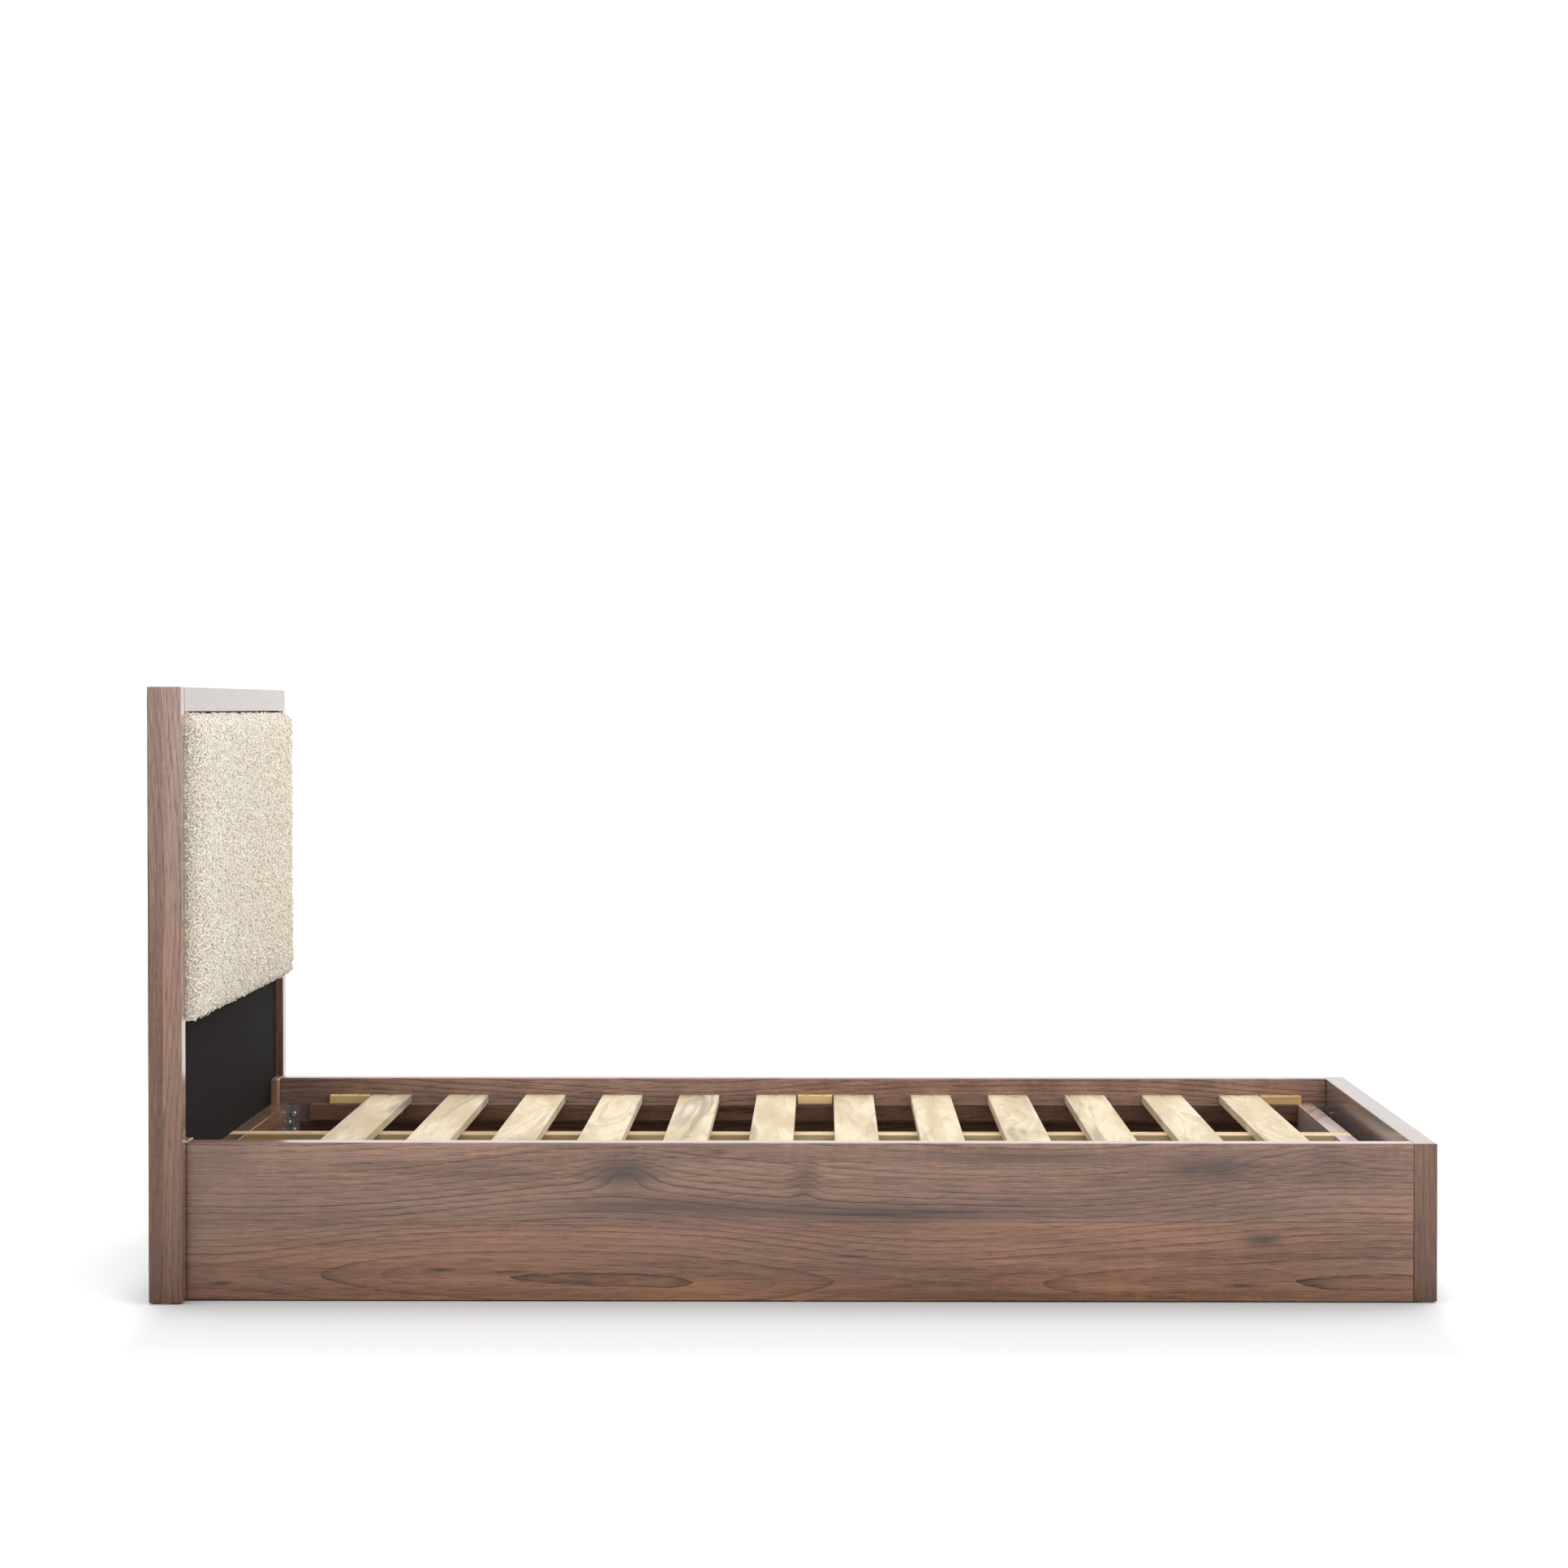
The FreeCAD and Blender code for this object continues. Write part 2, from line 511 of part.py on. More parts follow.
for side, word in SIDES:
    cleat_at = (f"{FRONT} + Sizes.cleat_start", f"{side} * ({INNER} - Sizes.cleat)", LEDGE)
    cleat = board(f"cleat_{word}", cleat_at, (CLEAT_LENGTH, "Sizes.cleat", "Sizes.cleat"),
                  (1, side, -1), "Sizes.pine_round")
    slat_spots = [(x, f"{side} * {CLEAT_Y}", LEDGE) for x in slat_screw_xs]
    spacer_spots = [(x, f"{side} * {SPACER_Y}", LEDGE) for x in spacer_screw_xs]
    drill(cleat, "XY_Plane", slat_spots + spacer_spots, "Sizes.screw_diameter", "Sizes.slat_pilot",
          "pilots", False)
    countersink(cleat, "XZ_Plane", [(x, "0", CLEAT_Z) for x in cleat_screw_xs], "screws", side == NEAR)

# Beam down the middle with a tongue at each end, and its leg.
BEAM_LENGTH = f"({FOOT_FACE} + Sizes.cross_thick - {BACK})"
beam = new_body("centre_beam", (BACK, "-Sizes.beam_width / 2", LEDGE))
outline = sketch_on(beam, "XZ_Plane", "centre_beam_outline")
shoulder = "(Sizes.cross_thick + Sizes.fit)"
polygon(outline, [("0", "0"), (BEAM_LENGTH, "0"), (BEAM_LENGTH, "-Sizes.tongue"),
                  (f"{BEAM_LENGTH} - {shoulder}", "-Sizes.tongue"),
                  (f"{BEAM_LENGTH} - {shoulder}", "-Sizes.beam_height"),
                  (shoulder, "-Sizes.beam_height"), (shoulder, "-Sizes.tongue"), ("0", "-Sizes.tongue")])
pad(beam, outline, "Sizes.beam_width", True)


def stands_out(edge):
    """True for every edge of the beam but the two inner corners of its shoulders."""
    box = edge.BoundBox
    across_beam = box.YLength > value("Sizes.beam_width") - SNAP
    at_tongue = abs(box.ZMin + value("Sizes.tongue")) < SNAP
    at_end = box.XMin < SNAP or box.XMax > value(BEAM_LENGTH) - SNAP
    return not (across_beam and at_tongue and not at_end)


round_edges(beam, "Sizes.pine_round", stands_out)

LEG_X = f"({BACK} + {BEAM_LENGTH} / 2)"
LEG_TOP = f"({LEDGE} - Sizes.beam_height)"
STUD_HOLE = "(Sizes.stud_diameter + 2 * Sizes.fit)"
STUD_DEPTH = "(Sizes.stud_length / 2 + Sizes.stud_room)"
drill(beam, "XY_Plane", [(LEG_X, "0", "0")], STUD_HOLE, STUD_DEPTH, "stud", True,
      lift="-Sizes.beam_height")
leg = board("centre_leg", (f"{LEG_X} - Sizes.leg_width / 2", "-Sizes.leg_width / 2", LEG_TOP),
            ("Sizes.leg_width", "Sizes.leg_width", f"{LEG_TOP} - {GLIDE}"), (1, 1, -1),
            "Sizes.leg_round")
drill(leg, "XY_Plane", [(LEG_X, "0", "0")], STUD_HOLE, STUD_DEPTH, "stud", False)

# Deck: slats screwed to the ledges, and spacer blocks that hold their places.
for index in range(SLAT_COUNT):
    slat_at = (f"{slat_middle(index)} - Sizes.slat_width / 2", f"-({INNER} - Sizes.slat_gap)", DECK)
    slat = board(f"slat_{index + 1:02d}", slat_at,
                 ("Sizes.slat_width", f"2 * ({INNER} - Sizes.slat_gap)", "Sizes.slat_thick"),
                 (1, 1, -1), "Sizes.pine_round")
    ends = [(slat_middle(index), f"{side} * {CLEAT_Y}", DECK) for side, _ in SIDES]
    countersink(slat, "XY_Plane", ends, "screws", False)

for side, word in SIDES:
    for place, start, length in SPACERS:
        spacer = board(f"spacer_{place}_{word}", (start, f"{side} * ({INNER} - Sizes.fit)", DECK),
                       (length, "Sizes.spacer_depth", "Sizes.slat_thick"), (1, -side, -1),
                       "Sizes.pine_round")
        spots = [(f"({start} + {share} * {length})", f"{side} * {SPACER_Y}", DECK)
                 for share in SPACER_SCREW_SHARES]
        countersink(spacer, "XY_Plane", spots, "screws", False)


# Angle brackets: one leg on a rail, the other on the head cross board or the footboard.
def bracket(name, corner_x, along, side):
    """An angle in the corner at corner_x, with its rail leg along the sign given."""
    at = (corner_x, f"{side} * {INNER}", f"{LEDGE} - Sizes.bracket_drop")
    body = new_body(name, at)
    sketch = sketch_on(body, "XY_Plane", name + "_outline")
    far_x = f"{along} * Sizes.bracket_leg"
    far_y = f"{-side} * Sizes.bracket_leg"
    thin_x = f"{along} * Sizes.bracket_thick"
    thin_y = f"{-side} * Sizes.bracket_thick"
    polygon(sketch, [("0", "0"), (far_x, "0"), (far_x, thin_y), (thin_x, thin_y), (thin_x, far_y),
                     ("0", far_y)])
    pad(body, sketch, "Sizes.bracket_height", True)
    round_edges(body, "Sizes.bracket_round")
    bolt_x = f"({corner_x} + {along} * Sizes.bolt_inset)"
    bolt_y = f"{side} * ({INNER} - Sizes.bolt_inset)"
    clearance = "Sizes.bolt_diameter + 2 * Sizes.fit"
    drill(body, "XZ_Plane", [(bolt_x, "0", z) for z in BOLT_ZS], clearance, "Sizes.bracket_thick",
          "rail_bolts", side == FAR)
    drill(body, "YZ_Plane", [("0", bolt_y, BOLT_MID)], clearance, "Sizes.bracket_thick",
          "board_bolt", along > 0)


bolts = []
inserts = []
one_bolt = bolt_solid()
insert_length = value("Sizes.insert_length")
insert_radius = value("Sizes.insert_diameter - Sizes.fit") / 2
bore_radius = value("Sizes.bolt_diameter + Sizes.fit / 2") / 2
one_insert = Part.makeCylinder(insert_radius, insert_length, V(0, 0, -insert_length))
one_insert = one_insert.cut(Part.makeCylinder(bore_radius, insert_length, V(0, 0, -insert_length)))
for side, word in SIDES:
    for end, corner_x, along in (("head", HEAD_FACE, 1), ("foot", FOOT, -1)):
        bracket(f"{end}_bracket_{word}", corner_x, along, side)
        bolt_x = f"({corner_x} + {along} * Sizes.bolt_inset)"
        for z in BOLT_ZS:
            seat = (bolt_x, f"{side} * ({INNER} - Sizes.bracket_thick)", z)
            bolts.append(placed(one_bolt, seat, (0, -side, 0)))
            inserts.append(placed(one_insert, (bolt_x, f"{side} * {INNER}", z), (0, -side, 0)))
        bolt_y = f"{side} * ({INNER} - Sizes.bolt_inset)"
        seat = (f"{corner_x} + {along} * Sizes.bracket_thick", bolt_y, BOLT_MID)
        bolts.append(placed(one_bolt, seat, (along, 0, 0)))
        inserts.append(placed(one_insert, (corner_x, bolt_y, BOLT_MID), (along, 0, 0)))
group("bracket_bolts", bolts)
group("threaded_inserts", inserts)

# Screws, dowels, the leg's stud and the glides.
slat_screw = screw_solid(value("Sizes.slat_screw"))
group("slat_screws", [placed(slat_screw, (x, f"{side} * {CLEAT_Y}", DECK), (0, 0, 1))
                      for side, _ in SIDES for x in slat_screw_xs])
group("spacer_screws", [placed(slat_screw, (x, f"{side} * {SPACER_Y}", DECK), (0, 0, 1))
                        for side, _ in SIDES for x in spacer_screw_xs])
cleat_screw = screw_solid(value("Sizes.cleat_screw"))
group("cleat_screws", [placed(cleat_screw, (x, f"{side} * ({INNER} - Sizes.cleat)", CLEAT_Z),
                              (0, -side, 0)) for side, _ in SIDES for x in cleat_screw_xs])
lap_screw = screw_solid(value("Sizes.lap_screw"))
group("cross_board_screws", [placed(lap_screw, spot, (1, 0, 0)) for spot in lap_spots])
panel_screw = screw_solid(value("Sizes.panel_screw"))
group("panel_screws", [placed(panel_screw, spot, (-1, 0, 0)) for spot in panel_screw_spots])

one_dowel = dowel_solid()
group("headboard_dowels", [placed(one_dowel, (x, f"{side} * {OUTER}", DOWEL_Z), (0, 1, 0))
                           for side, _ in SIDES for x in DOWEL_XS])
group("cross_board_dowels", [placed(one_dowel, (FOOT_PEG_X, f"{side} * {INNER}", z), (0, 1, 0))
                             for side, _ in SIDES for z in FOOT_PEG_ZS])

stud = doc.addObject("Part::Cylinder", "leg_stud")
stud.Label = "leg_stud"
stud.setExpression("Radius", "Sizes.stud_diameter / 2")
stud.setExpression("Height", "Sizes.stud_length")
stud.setExpression("Placement.Base.x", LEG_X)
stud.setExpression("Placement.Base.z", f"{LEG_TOP} - Sizes.stud_length / 2")
parts.append(stud)

glide = Part.makeCylinder(value("Sizes.glide_diameter") / 2, value(GLIDE))
glide_rims = [e for e in glide.Edges if e.BoundBox.ZMax < SNAP]
glide = glide.makeChamfer(value("Sizes.glide_chamfer"), glide_rims)
post_x = f"({FRONT} - Sizes.head_depth / 2)"
foot_x = f"({FOOT} + Sizes.board / 2)"
rail_y = f"({INNER} + Sizes.board / 2)"
post_y = f"({OUTER} + Sizes.board / 2)"
glide_spots = [(LEG_X, "0", "0")]
for side, _ in SIDES:
    glide_spots.append((post_x, f"{side} * {post_y}", "0"))
    glide_spots.append((f"({FRONT} + Sizes.mattress_length / 2)", f"{side} * {rail_y}", "0"))
    glide_spots.append((foot_x, f"{side} * {rail_y}", "0"))
group("floor_glides", [placed(glide, spot, (0, 0, 1)) for spot in glide_spots])

# Every object has to be sound before anything is written.
doc.recompute()
for thing in doc.Objects:
    if "Invalid" in thing.State or "Error" in thing.State:
        raise ValueError(f"{thing.Name} failed: {thing.State}")
os.makedirs("parts", exist_ok=True)
for part in parts:
    shape = part.Shape
    if shape.isNull() or not shape.isValid() or not shape.Solids:
        raise ValueError(f"{part.Label} has no sound solid")
for part in parts:
    part.Shape.exportStep(f"parts/{part.Label}.step")
    box = part.Shape.BoundBox
    print(f"{part.Label:24s} {len(part.Shape.Solids):3d} solid(s)  x {box.XMin:8.1f} {box.XMax:8.1f}"
          f"  y {box.YMin:8.1f} {box.YMax:8.1f}  z {box.ZMin:7.1f} {box.ZMax:7.1f}")
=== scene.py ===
"""Walnut panel bed: its looks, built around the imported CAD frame.

Metres, in the row's frame: the head is at -X, the foot at +X, the near side at -Y, and Z is up.
"""

import math
from typing import NamedTuple

import bpy
import numpy as np
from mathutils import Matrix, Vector


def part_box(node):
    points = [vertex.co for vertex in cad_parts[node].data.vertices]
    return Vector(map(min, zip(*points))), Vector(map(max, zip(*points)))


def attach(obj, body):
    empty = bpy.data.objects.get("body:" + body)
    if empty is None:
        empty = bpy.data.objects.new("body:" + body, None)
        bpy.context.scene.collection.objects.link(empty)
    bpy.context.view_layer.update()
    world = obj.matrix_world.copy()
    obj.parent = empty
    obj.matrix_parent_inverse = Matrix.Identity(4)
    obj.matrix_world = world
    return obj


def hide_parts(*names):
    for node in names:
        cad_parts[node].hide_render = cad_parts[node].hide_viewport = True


# ---- camera ----
CAMERA_PLACE = (0.0452, -6.4865, 0.9324)
CAMERA_YAW = 0.0102  # turn to the left of +Y, in radians
CAMERA_PITCH = 0.0201  # tilt down from level, in radians
SENSOR_WIDTH = 36.0
FOCAL_LENGTH = 87.3
CLIP_START, CLIP_END = 0.05, 3000.0

# ---- studio ----
WHITE = (1.0, 1.0, 1.0, 1.0)
SKY_BASE = 0.94
# direction, strength and exponent of each soft lobe of light
GLOWS = (
    ((0.15, 0.55, 0.82), 1.70, 6.0),
    ((0.10, 0.99, 0.05), 0.22, 2.0),
    ((0.05, -0.97, 0.24), 0.45, 8.0),
    ((0.93, -0.25, 0.26), 0.68, 4.0),
)
FLOOR_SHADE = 0.97
FLOOR_PAINTED_SHADOW = 0.66  # painted shadow just in front of the bed
# painted shade on the floor under the bed
FLOOR_PAINTED_UNDER_SHADE = 0.30
FRONT_HALF = (0.95, 1.10)  # |x| where the painted front shadow starts to fade, and where it ends
FRONT_REACH = (-1.45, -0.95)  # y where the painted front shadow ends, and where it is full
UNDER_HALF = (0.985, 0.52)  # half sides of the painted shade on the floor under the bed
FLOOR_PAINTED_GLOW = 0.10  # painted glow: light the floor gives off beyond the bed's ends
FLOOR_CLOUD = 2.0  # scale of the paper's faint cloudiness
FLOOR_HALF = 900.0
# name, place, aim, size and power of each lamp
LAMPS = (
    ("light_above", (0.6, 1.0, 3.2), (0.2, 0.2, 0.0), 3.0, 10.0),
    ("light_head", (-1.6, -1.5, 2.0), (-0.98, -0.55, 0.9), 0.7, 4.0),
)

# ---- upholstered panel ----
PAD_INSET = 0.0030  # from the cover's outer shape to the smooth cloth under the pile
PAD_RADIUS = 0.014
PAD_BACK_WEIGHT = 0.25  # share of that radius on the edges that lie on the board
BACK_GAP = 0.0002  # between the cloth and the board behind it
BACK_DEPTH = 0.006  # the cloth within this of the board is held
VOXEL = 0.0072
PRESSURE = 4.0
CLOTH_QUALITY = 4
SIM_FRAMES = 20
SIM_CAP = 0.0045
FRONT_SPARE, SIDE_SPARE = 0.2, 0.7  # share of the inset that swollen cloth keeps clear, in front and beside

# ---- pile: small curled yarn loops ----
PILE_SEED = 20
PILE_PITCH = 0.0043  # distance between neighbouring loops
PILE_TRIES = 2.6  # points tried for each loop kept
PILE_CELL = 0.92  # side of the cube that holds one loop, in pitches
PILE_GROUPS = 10
PILE_START = 0.003  # the pile starts this far in front of the board
PILE_CLEAR = 0.0002  # between the pile and the boards round it
LOOP_RADIUS = (0.0013, 0.0048)
LONG_LOOPS = 2.2  # the higher, the fewer long loops
LOOP_LIFT = 0.0050
HIGH_LOOPS = 1.5  # the higher, the fewer lifted loops
LOOP_LEAN = 1.9  # range of lean to both sides, in radians
LOOP_BEGIN = (-0.35, -0.5)  # where a loop starts, in radians: fixed and random share
LOOP_SWEEP = (math.pi + 0.7, 1.3)  # how far it turns, in radians: fixed and random share
LOOP_PITCH = 0.0026  # how far it winds sideways
LOOP_WOBBLE = (0.22, 3.1)  # size and waves of its uneven radius
YARN_RADIUS = (0.00075, 0.00120)
YARN_TWIST = 0.6
LOOP_RINGS = 6
YARN_SIDES = 4
CELL_HASH = (73856093, 19349663, 83492791)  # large primes that give each cube its own key


def linear(r, g, b):
    """An sRGB colour, 0 to 255, as linear RGBA."""

    def one(c):
        c = c / 255
        return c / 12.92 if c <= 0.04045 else ((c + 0.055) / 1.055) ** 2.4

    return (one(r), one(g), one(b), 1.0)


class Net:
    """Short ways to add nodes to a tree. Each call returns the new node's output socket."""

    def __init__(self, tree):
        self.tree = tree

    def node(self, kind, **settings):
        made = self.tree.nodes.new(kind)
        for key, value in settings.items():
            setattr(made, key, value)
        return made

    def put(self, socket, value):
        if isinstance(value, bpy.types.NodeSocket):
            self.tree.links.new(value, socket)
        else:
            socket.default_value = value

    def math(self, operation, *values):
        made = self.node("ShaderNodeMath", operation=operation)
        for socket, value in zip(made.inputs, values):
            self.put(socket, value)
        return made.outputs[0]

    def add(self, a, b):
        return self.math("ADD", a, b)

    def mul(self, a, b):
        return self.math("MULTIPLY", a, b)

    def mad(self, a, b, c):
        """a times b, plus c."""
        return self.math("MULTIPLY_ADD", a, b, c)

    def join(self, x, y, z):
        made = self.node("ShaderNodeCombineXYZ")
        for socket, value in zip(made.inputs, (x, y, z)):
            self.put(socket, value)
        return made.outputs[0]

    def split(self, vector):
        made = self.node("ShaderNodeSeparateXYZ")
        self.put(made.inputs[0], vector)
        return made.outputs

    def stretch(self, vector, sizes):
        made = self.node("ShaderNodeVectorMath", operation="MULTIPLY")
        self.put(made.inputs[0], vector)
        self.put(made.inputs[1], sizes)
        return made.outputs[0]

    def noise(self, vector, scale=1.0, detail=2.0, roughness=0.5, distortion=0.0):
        made = self.node("ShaderNodeTexNoise")
        self.put(made.inputs["Vector"], vector)
        self.put(made.inputs["Scale"], scale)
        self.put(made.inputs["Detail"], detail)
        self.put(made.inputs["Roughness"], roughness)
        self.put(made.inputs["Distortion"], distortion)
        return made.outputs[0]

    def grain(self, vector, table):
        """Named noises. A row of the table is the waves per metre on each axis, then the detail, the
        roughness and the distortion."""
        made = {}
        for name, (waves, detail, roughness, distortion) in table.items():
            made[name] = self.noise(self.stretch(vector, waves), 1.0, detail, roughness, distortion)
        return made

    def cells(self, vector):
        """How far each point is from the nearest of many scattered centres."""
        made = self.node("ShaderNodeTexVoronoi", feature="F1")
        self.put(made.inputs["Vector"], vector)
        self.put(made.inputs["Scale"], 1.0)
        self.put(made.inputs["Randomness"], 1.0)
        return made.outputs["Distance"]

    def fit(self, value, low, high, to_low=0.0, to_high=1.0, smooth=True):
        """Takes low..high to to_low..to_high, and holds the ends."""
        made = self.node("ShaderNodeMapRange", interpolation_type="SMOOTHSTEP" if smooth else "LINEAR")
        for socket, number in zip(made.inputs, (value, low, high, to_low, to_high)):
            self.put(socket, number)
        return made.outputs[0]

    def pick(self, choice, a, b):
        """a where choice is 0, and b where it is 1."""
        return self.fit(choice, 0.0, 1.0, a, b, smooth=False)

    def veil(self, value, low, high, share):
        """How much of a colour is laid on: none at low, share at high."""
        return self.mul(self.fit(value, low, high), share)

    def mix(self, share, a, b, blend="MIX"):
        made = self.node("ShaderNodeMix", data_type="RGBA", blend_type=blend)
        self.put(made.inputs["Factor"], share)
        self.put(made.inputs[6], a)
        self.put(made.inputs[7], b)
        return made.outputs[2]

    def lay(self, base, coats):
        """Lays coats over a base colour, each a (share, colour) pair."""
        for share, colour in coats:
            base = self.mix(share, base, colour)
        return base

    def bump(self, height, strength, distance):
        made = self.node("ShaderNodeBump")
        self.put(made.inputs["Height"], height)
        made.inputs["Strength"].default_value = strength
        made.inputs["Distance"].default_value = distance
        return made.outputs[0]


def new_material(name):
    """A material with its net, its shader and the place of each point in metres."""
    material = bpy.data.materials.new(name)
    material.use_nodes = True
    net = Net(material.node_tree)
    shader = material.node_tree.nodes["Principled BSDF"]
    place = net.node("ShaderNodeTexCoord").outputs["Object"]
    return material, net, shader, place


def plain(shader, **values):
    """Values that are the same all over the surface, set on the shader's own sockets."""
    for key, value in values.items():
        shader.inputs[key.replace("_", " ")].default_value = value


def surface(net, shader, colour, rough, normal):
    """Values that change over the surface."""
    net.put(shader.inputs["Base Color"], colour)
    net.put(shader.inputs["Roughness"], rough)
    net.put(shader.inputs["Normal"], normal)


# ---- walnut ----
AXES = {"X": 0, "Y": 1, "Z": 2}
WALNUT_LIGHT = linear(182, 134, 101)
WALNUT_MID = linear(142, 99, 73)
WALNUT_DARK = linear(60, 36, 27)
WALNUT_COOL = linear(133, 109, 100)
WALNUT_SMUDGE_AND_SHADE = linear(70, 56, 51)
MINERAL = linear(34, 24, 21)

RINGS_PER_METRE = 105.0
DEPTH_RINGS = 30.0  # rings crossed per metre into the board
HEART_WIDTH = 0.030  # how wide the arches are at the heart line
SEED_SHIFT = (13.1, 7.7, 3.3)  # how far each step of the seed moves the grain along, across and in
WANDER = 0.036  # how far the rings stray across the board, in metres
KNOT_PUSH = 0.003  # how far a knot pushes the grain, in metres for each ring it adds
FIBRE_FOLLOW = 0.40  # how much of that bend the fibres follow
# radians per metre, for each step of the seed and at the start, then the size in rings
SWING = (5.24, 2.1, -1.84, 1.7)
SWAY = (11.3, 5.7, 0.0, 0.3)
LOOSE_RINGS = 2.2
RAGGED_RINGS = 0.30
LINE_POWER = 6.0  # the higher, the thinner the dark line that ends each ring
SHADE_POWER = 2.5
VENEER = 0.0006
DEEPEN = (1.25, 1.50)  # how much faster green and blue fall than red in a darker board

# noises: waves per metre along, across and into the board, then detail, roughness and distortion
RING_GRAIN = {
    "wander": ((0.9, 3.0, 3.0), 1.0, 0.5, 0.0),
    "loose": ((1.1, 8.0, 8.0), 2.0, 0.5, 0.0),
    "ragged": ((14.0, 40.0, 40.0), 2.0, 0.5, 0.0),
    "fade": ((2.6, 18.0, 18.0), 1.0, 0.5, 0.0),
    "patch": ((1.6, 7.0, 7.0), 2.0, 0.5, 0.0),
}
FIBRE_GRAIN = {
    "broad": ((1.5, 34.0, 34.0), 2.0, 0.5, 0.0),
    "fibre": ((2.5, 460.0, 460.0), 4.0, 0.75, 0.0),
    "pore": ((30.0, 900.0, 900.0), 2.0, 0.6, 0.0),
    "band": ((2.2, 110.0, 110.0), 2.0, 0.55, 0.0),
    "curl": ((60.0, 20.0, 20.0), 2.0, 0.5, 0.8),
    "streak": ((2.6, 66.0, 66.0), 2.0, 0.5, 0.3),
    "murk": ((1.3, 16.0, 16.0), 3.0, 0.6, 0.4),
}

PLANK_SEED = 4.3  # how the upper plank's grain differs from the lower one's
PLANK_HEART = 0.25
JOINT_WIDTH = (0.0014, 0.0003)  # where the dark line between planks starts, and where it is full
JOINT_WAVES = 3.0
JOINT_SHARE = 0.55


def wave(net, along, seed, shape):
    """A slow wave along the board."""
    waves, seed_turn, start, size = shape
    phase = net.add(net.mul(along, waves), net.mad(seed, seed_turn, start))
    return net.mul(net.math("SINE", phase), size)


def seeded(net, seed, along, across, deep):
    """The place in the grain: each seed is another stretch of the same tree."""
    return net.join(*(net.mad(seed, far, way) for far, way in zip(SEED_SHIFT, (along, across, deep))))


def walnut_group():
    """Node group: the colour, gloss and relief of walnut at a point, with Along on the grain."""
    tree = bpy.data.node_groups.new("walnut_grain", "ShaderNodeTree")
    for name in ("Along", "Across", "Deep", "Seed", "Heart", "Swell", "SmudgeAndShade", "Cool"):
        tree.interface.new_socket(name, in_out="INPUT", socket_type="NodeSocketFloat")
    tree.interface.new_socket("Tone", in_out="INPUT", socket_type="NodeSocketColor")
    tree.interface.new_socket("Color", in_out="OUTPUT", socket_type="NodeSocketColor")
    tree.interface.new_socket("Roughness", in_out="OUTPUT", socket_type="NodeSocketFloat")
    tree.interface.new_socket("Height", in_out="OUTPUT", socket_type="NodeSocketFloat")
    net = Net(tree)
    given = net.node("NodeGroupInput").outputs
    along, across, deep, seed = (given[k] for k in ("Along", "Across", "Deep", "Seed"))

    # growth rings: nested arches about the heart line, bent by slow noise and swollen at knots
    slow = net.grain(seeded(net, seed, along, across, deep), RING_GRAIN)
    stray = net.mad(slow["wander"], WANDER, -WANDER / 2)
    drift = net.add(stray, net.mul(given["Swell"], KNOT_PUSH))
    off = net.math("SUBTRACT", net.add(across, drift), given["Heart"])
    arch = net.math("SQRT", net.mad(off, off, HEART_WIDTH**2))
    bends = net.add(wave(net, along, seed, SWING), wave(net, along, seed, SWAY))
    uneven = net.add(net.mul(slow["loose"], LOOSE_RINGS), net.mul(slow["ragged"], RAGGED_RINGS))
    pushed = net.add(net.mul(deep, DEPTH_RINGS), given["Swell"])
    rings = net.mad(arch, RINGS_PER_METRE, net.add(bends, net.add(uneven, pushed)))
    late = net.math("FRACT", rings)
    shade = net.math("POWER", late, SHADE_POWER)
    # each ring's line has its own strength, and fades in places
    which = net.node("ShaderNodeTexWhiteNoise", noise_dimensions="1D")
    net.put(which.inputs["W"], net.add(net.math("FLOOR", rings), seed))
    strength = net.mad(net.fit(slow["fade"], 0.40, 0.62), 0.35, 0.95)
    line = net.mul(net.mul(net.math("POWER", late, LINE_POWER), which.outputs["Value"]), strength)

    # fibres and pores, long along the grain and bent with it round the knots
    fine = net.grain(seeded(net, seed, along, net.mad(drift, FIBRE_FOLLOW, across), deep), FIBRE_GRAIN)
    fibre, pore = fine["fibre"], fine["pore"]
    # painted shimmer of the curled figure
    curl_shimmer = net.mul(net.fit(fine["curl"], 0.48, 0.70), net.fit(slow["patch"], 0.56, 0.44))

    base = net.mix(net.fit(fine["broad"], 0.34, 0.66), WALNUT_MID, WALNUT_LIGHT)
    coats = (
        (net.veil(slow["patch"], 0.38, 0.66, 0.50), WALNUT_COOL),
        (net.mul(given["Cool"], 0.70), WALNUT_COOL),
        (net.mul(shade, 0.16), WALNUT_DARK),
        (line, WALNUT_DARK),
        (net.veil(fine["band"], 0.50, 0.68, 0.10), WALNUT_DARK),
        (net.veil(fine["murk"], 0.48, 0.72, 0.42), WALNUT_DARK),
        (net.veil(fibre, 0.46, 0.64, 0.16), WALNUT_DARK),
        # light fibres and pores: partly the wood's own pale fibres, partly painted glints off the pores
        (net.veil(fibre, 0.48, 0.32, 0.24), WALNUT_LIGHT),
        (net.veil(pore, 0.54, 0.68, 0.60), WALNUT_DARK),
        (net.veil(pore, 0.44, 0.32, 0.55), WALNUT_LIGHT),
        (net.mul(curl_shimmer, 0.14), WALNUT_LIGHT),
        (net.veil(fine["streak"], 0.69, 0.77, 0.40), MINERAL),
        # smudges, knot darkening and painted shade
        (net.mul(given["SmudgeAndShade"], net.mad(fine["broad"], 1.2, 0.30)), WALNUT_SMUDGE_AND_SHADE),
    )
    colour = net.mix(1.0, net.lay(base, coats), given["Tone"], blend="MULTIPLY")

    out = net.node("NodeGroupOutput")
    net.put(out.inputs["Color"], colour)
    net.put(out.inputs["Roughness"], net.add(net.mad(pore, 0.08, 0.26), net.mul(fibre, 0.05)))
    net.put(out.inputs["Height"], net.math("SUBTRACT", net.mul(fibre, 0.5), net.veil(pore, 0.56, 0.74, 0.7)))
    return tree


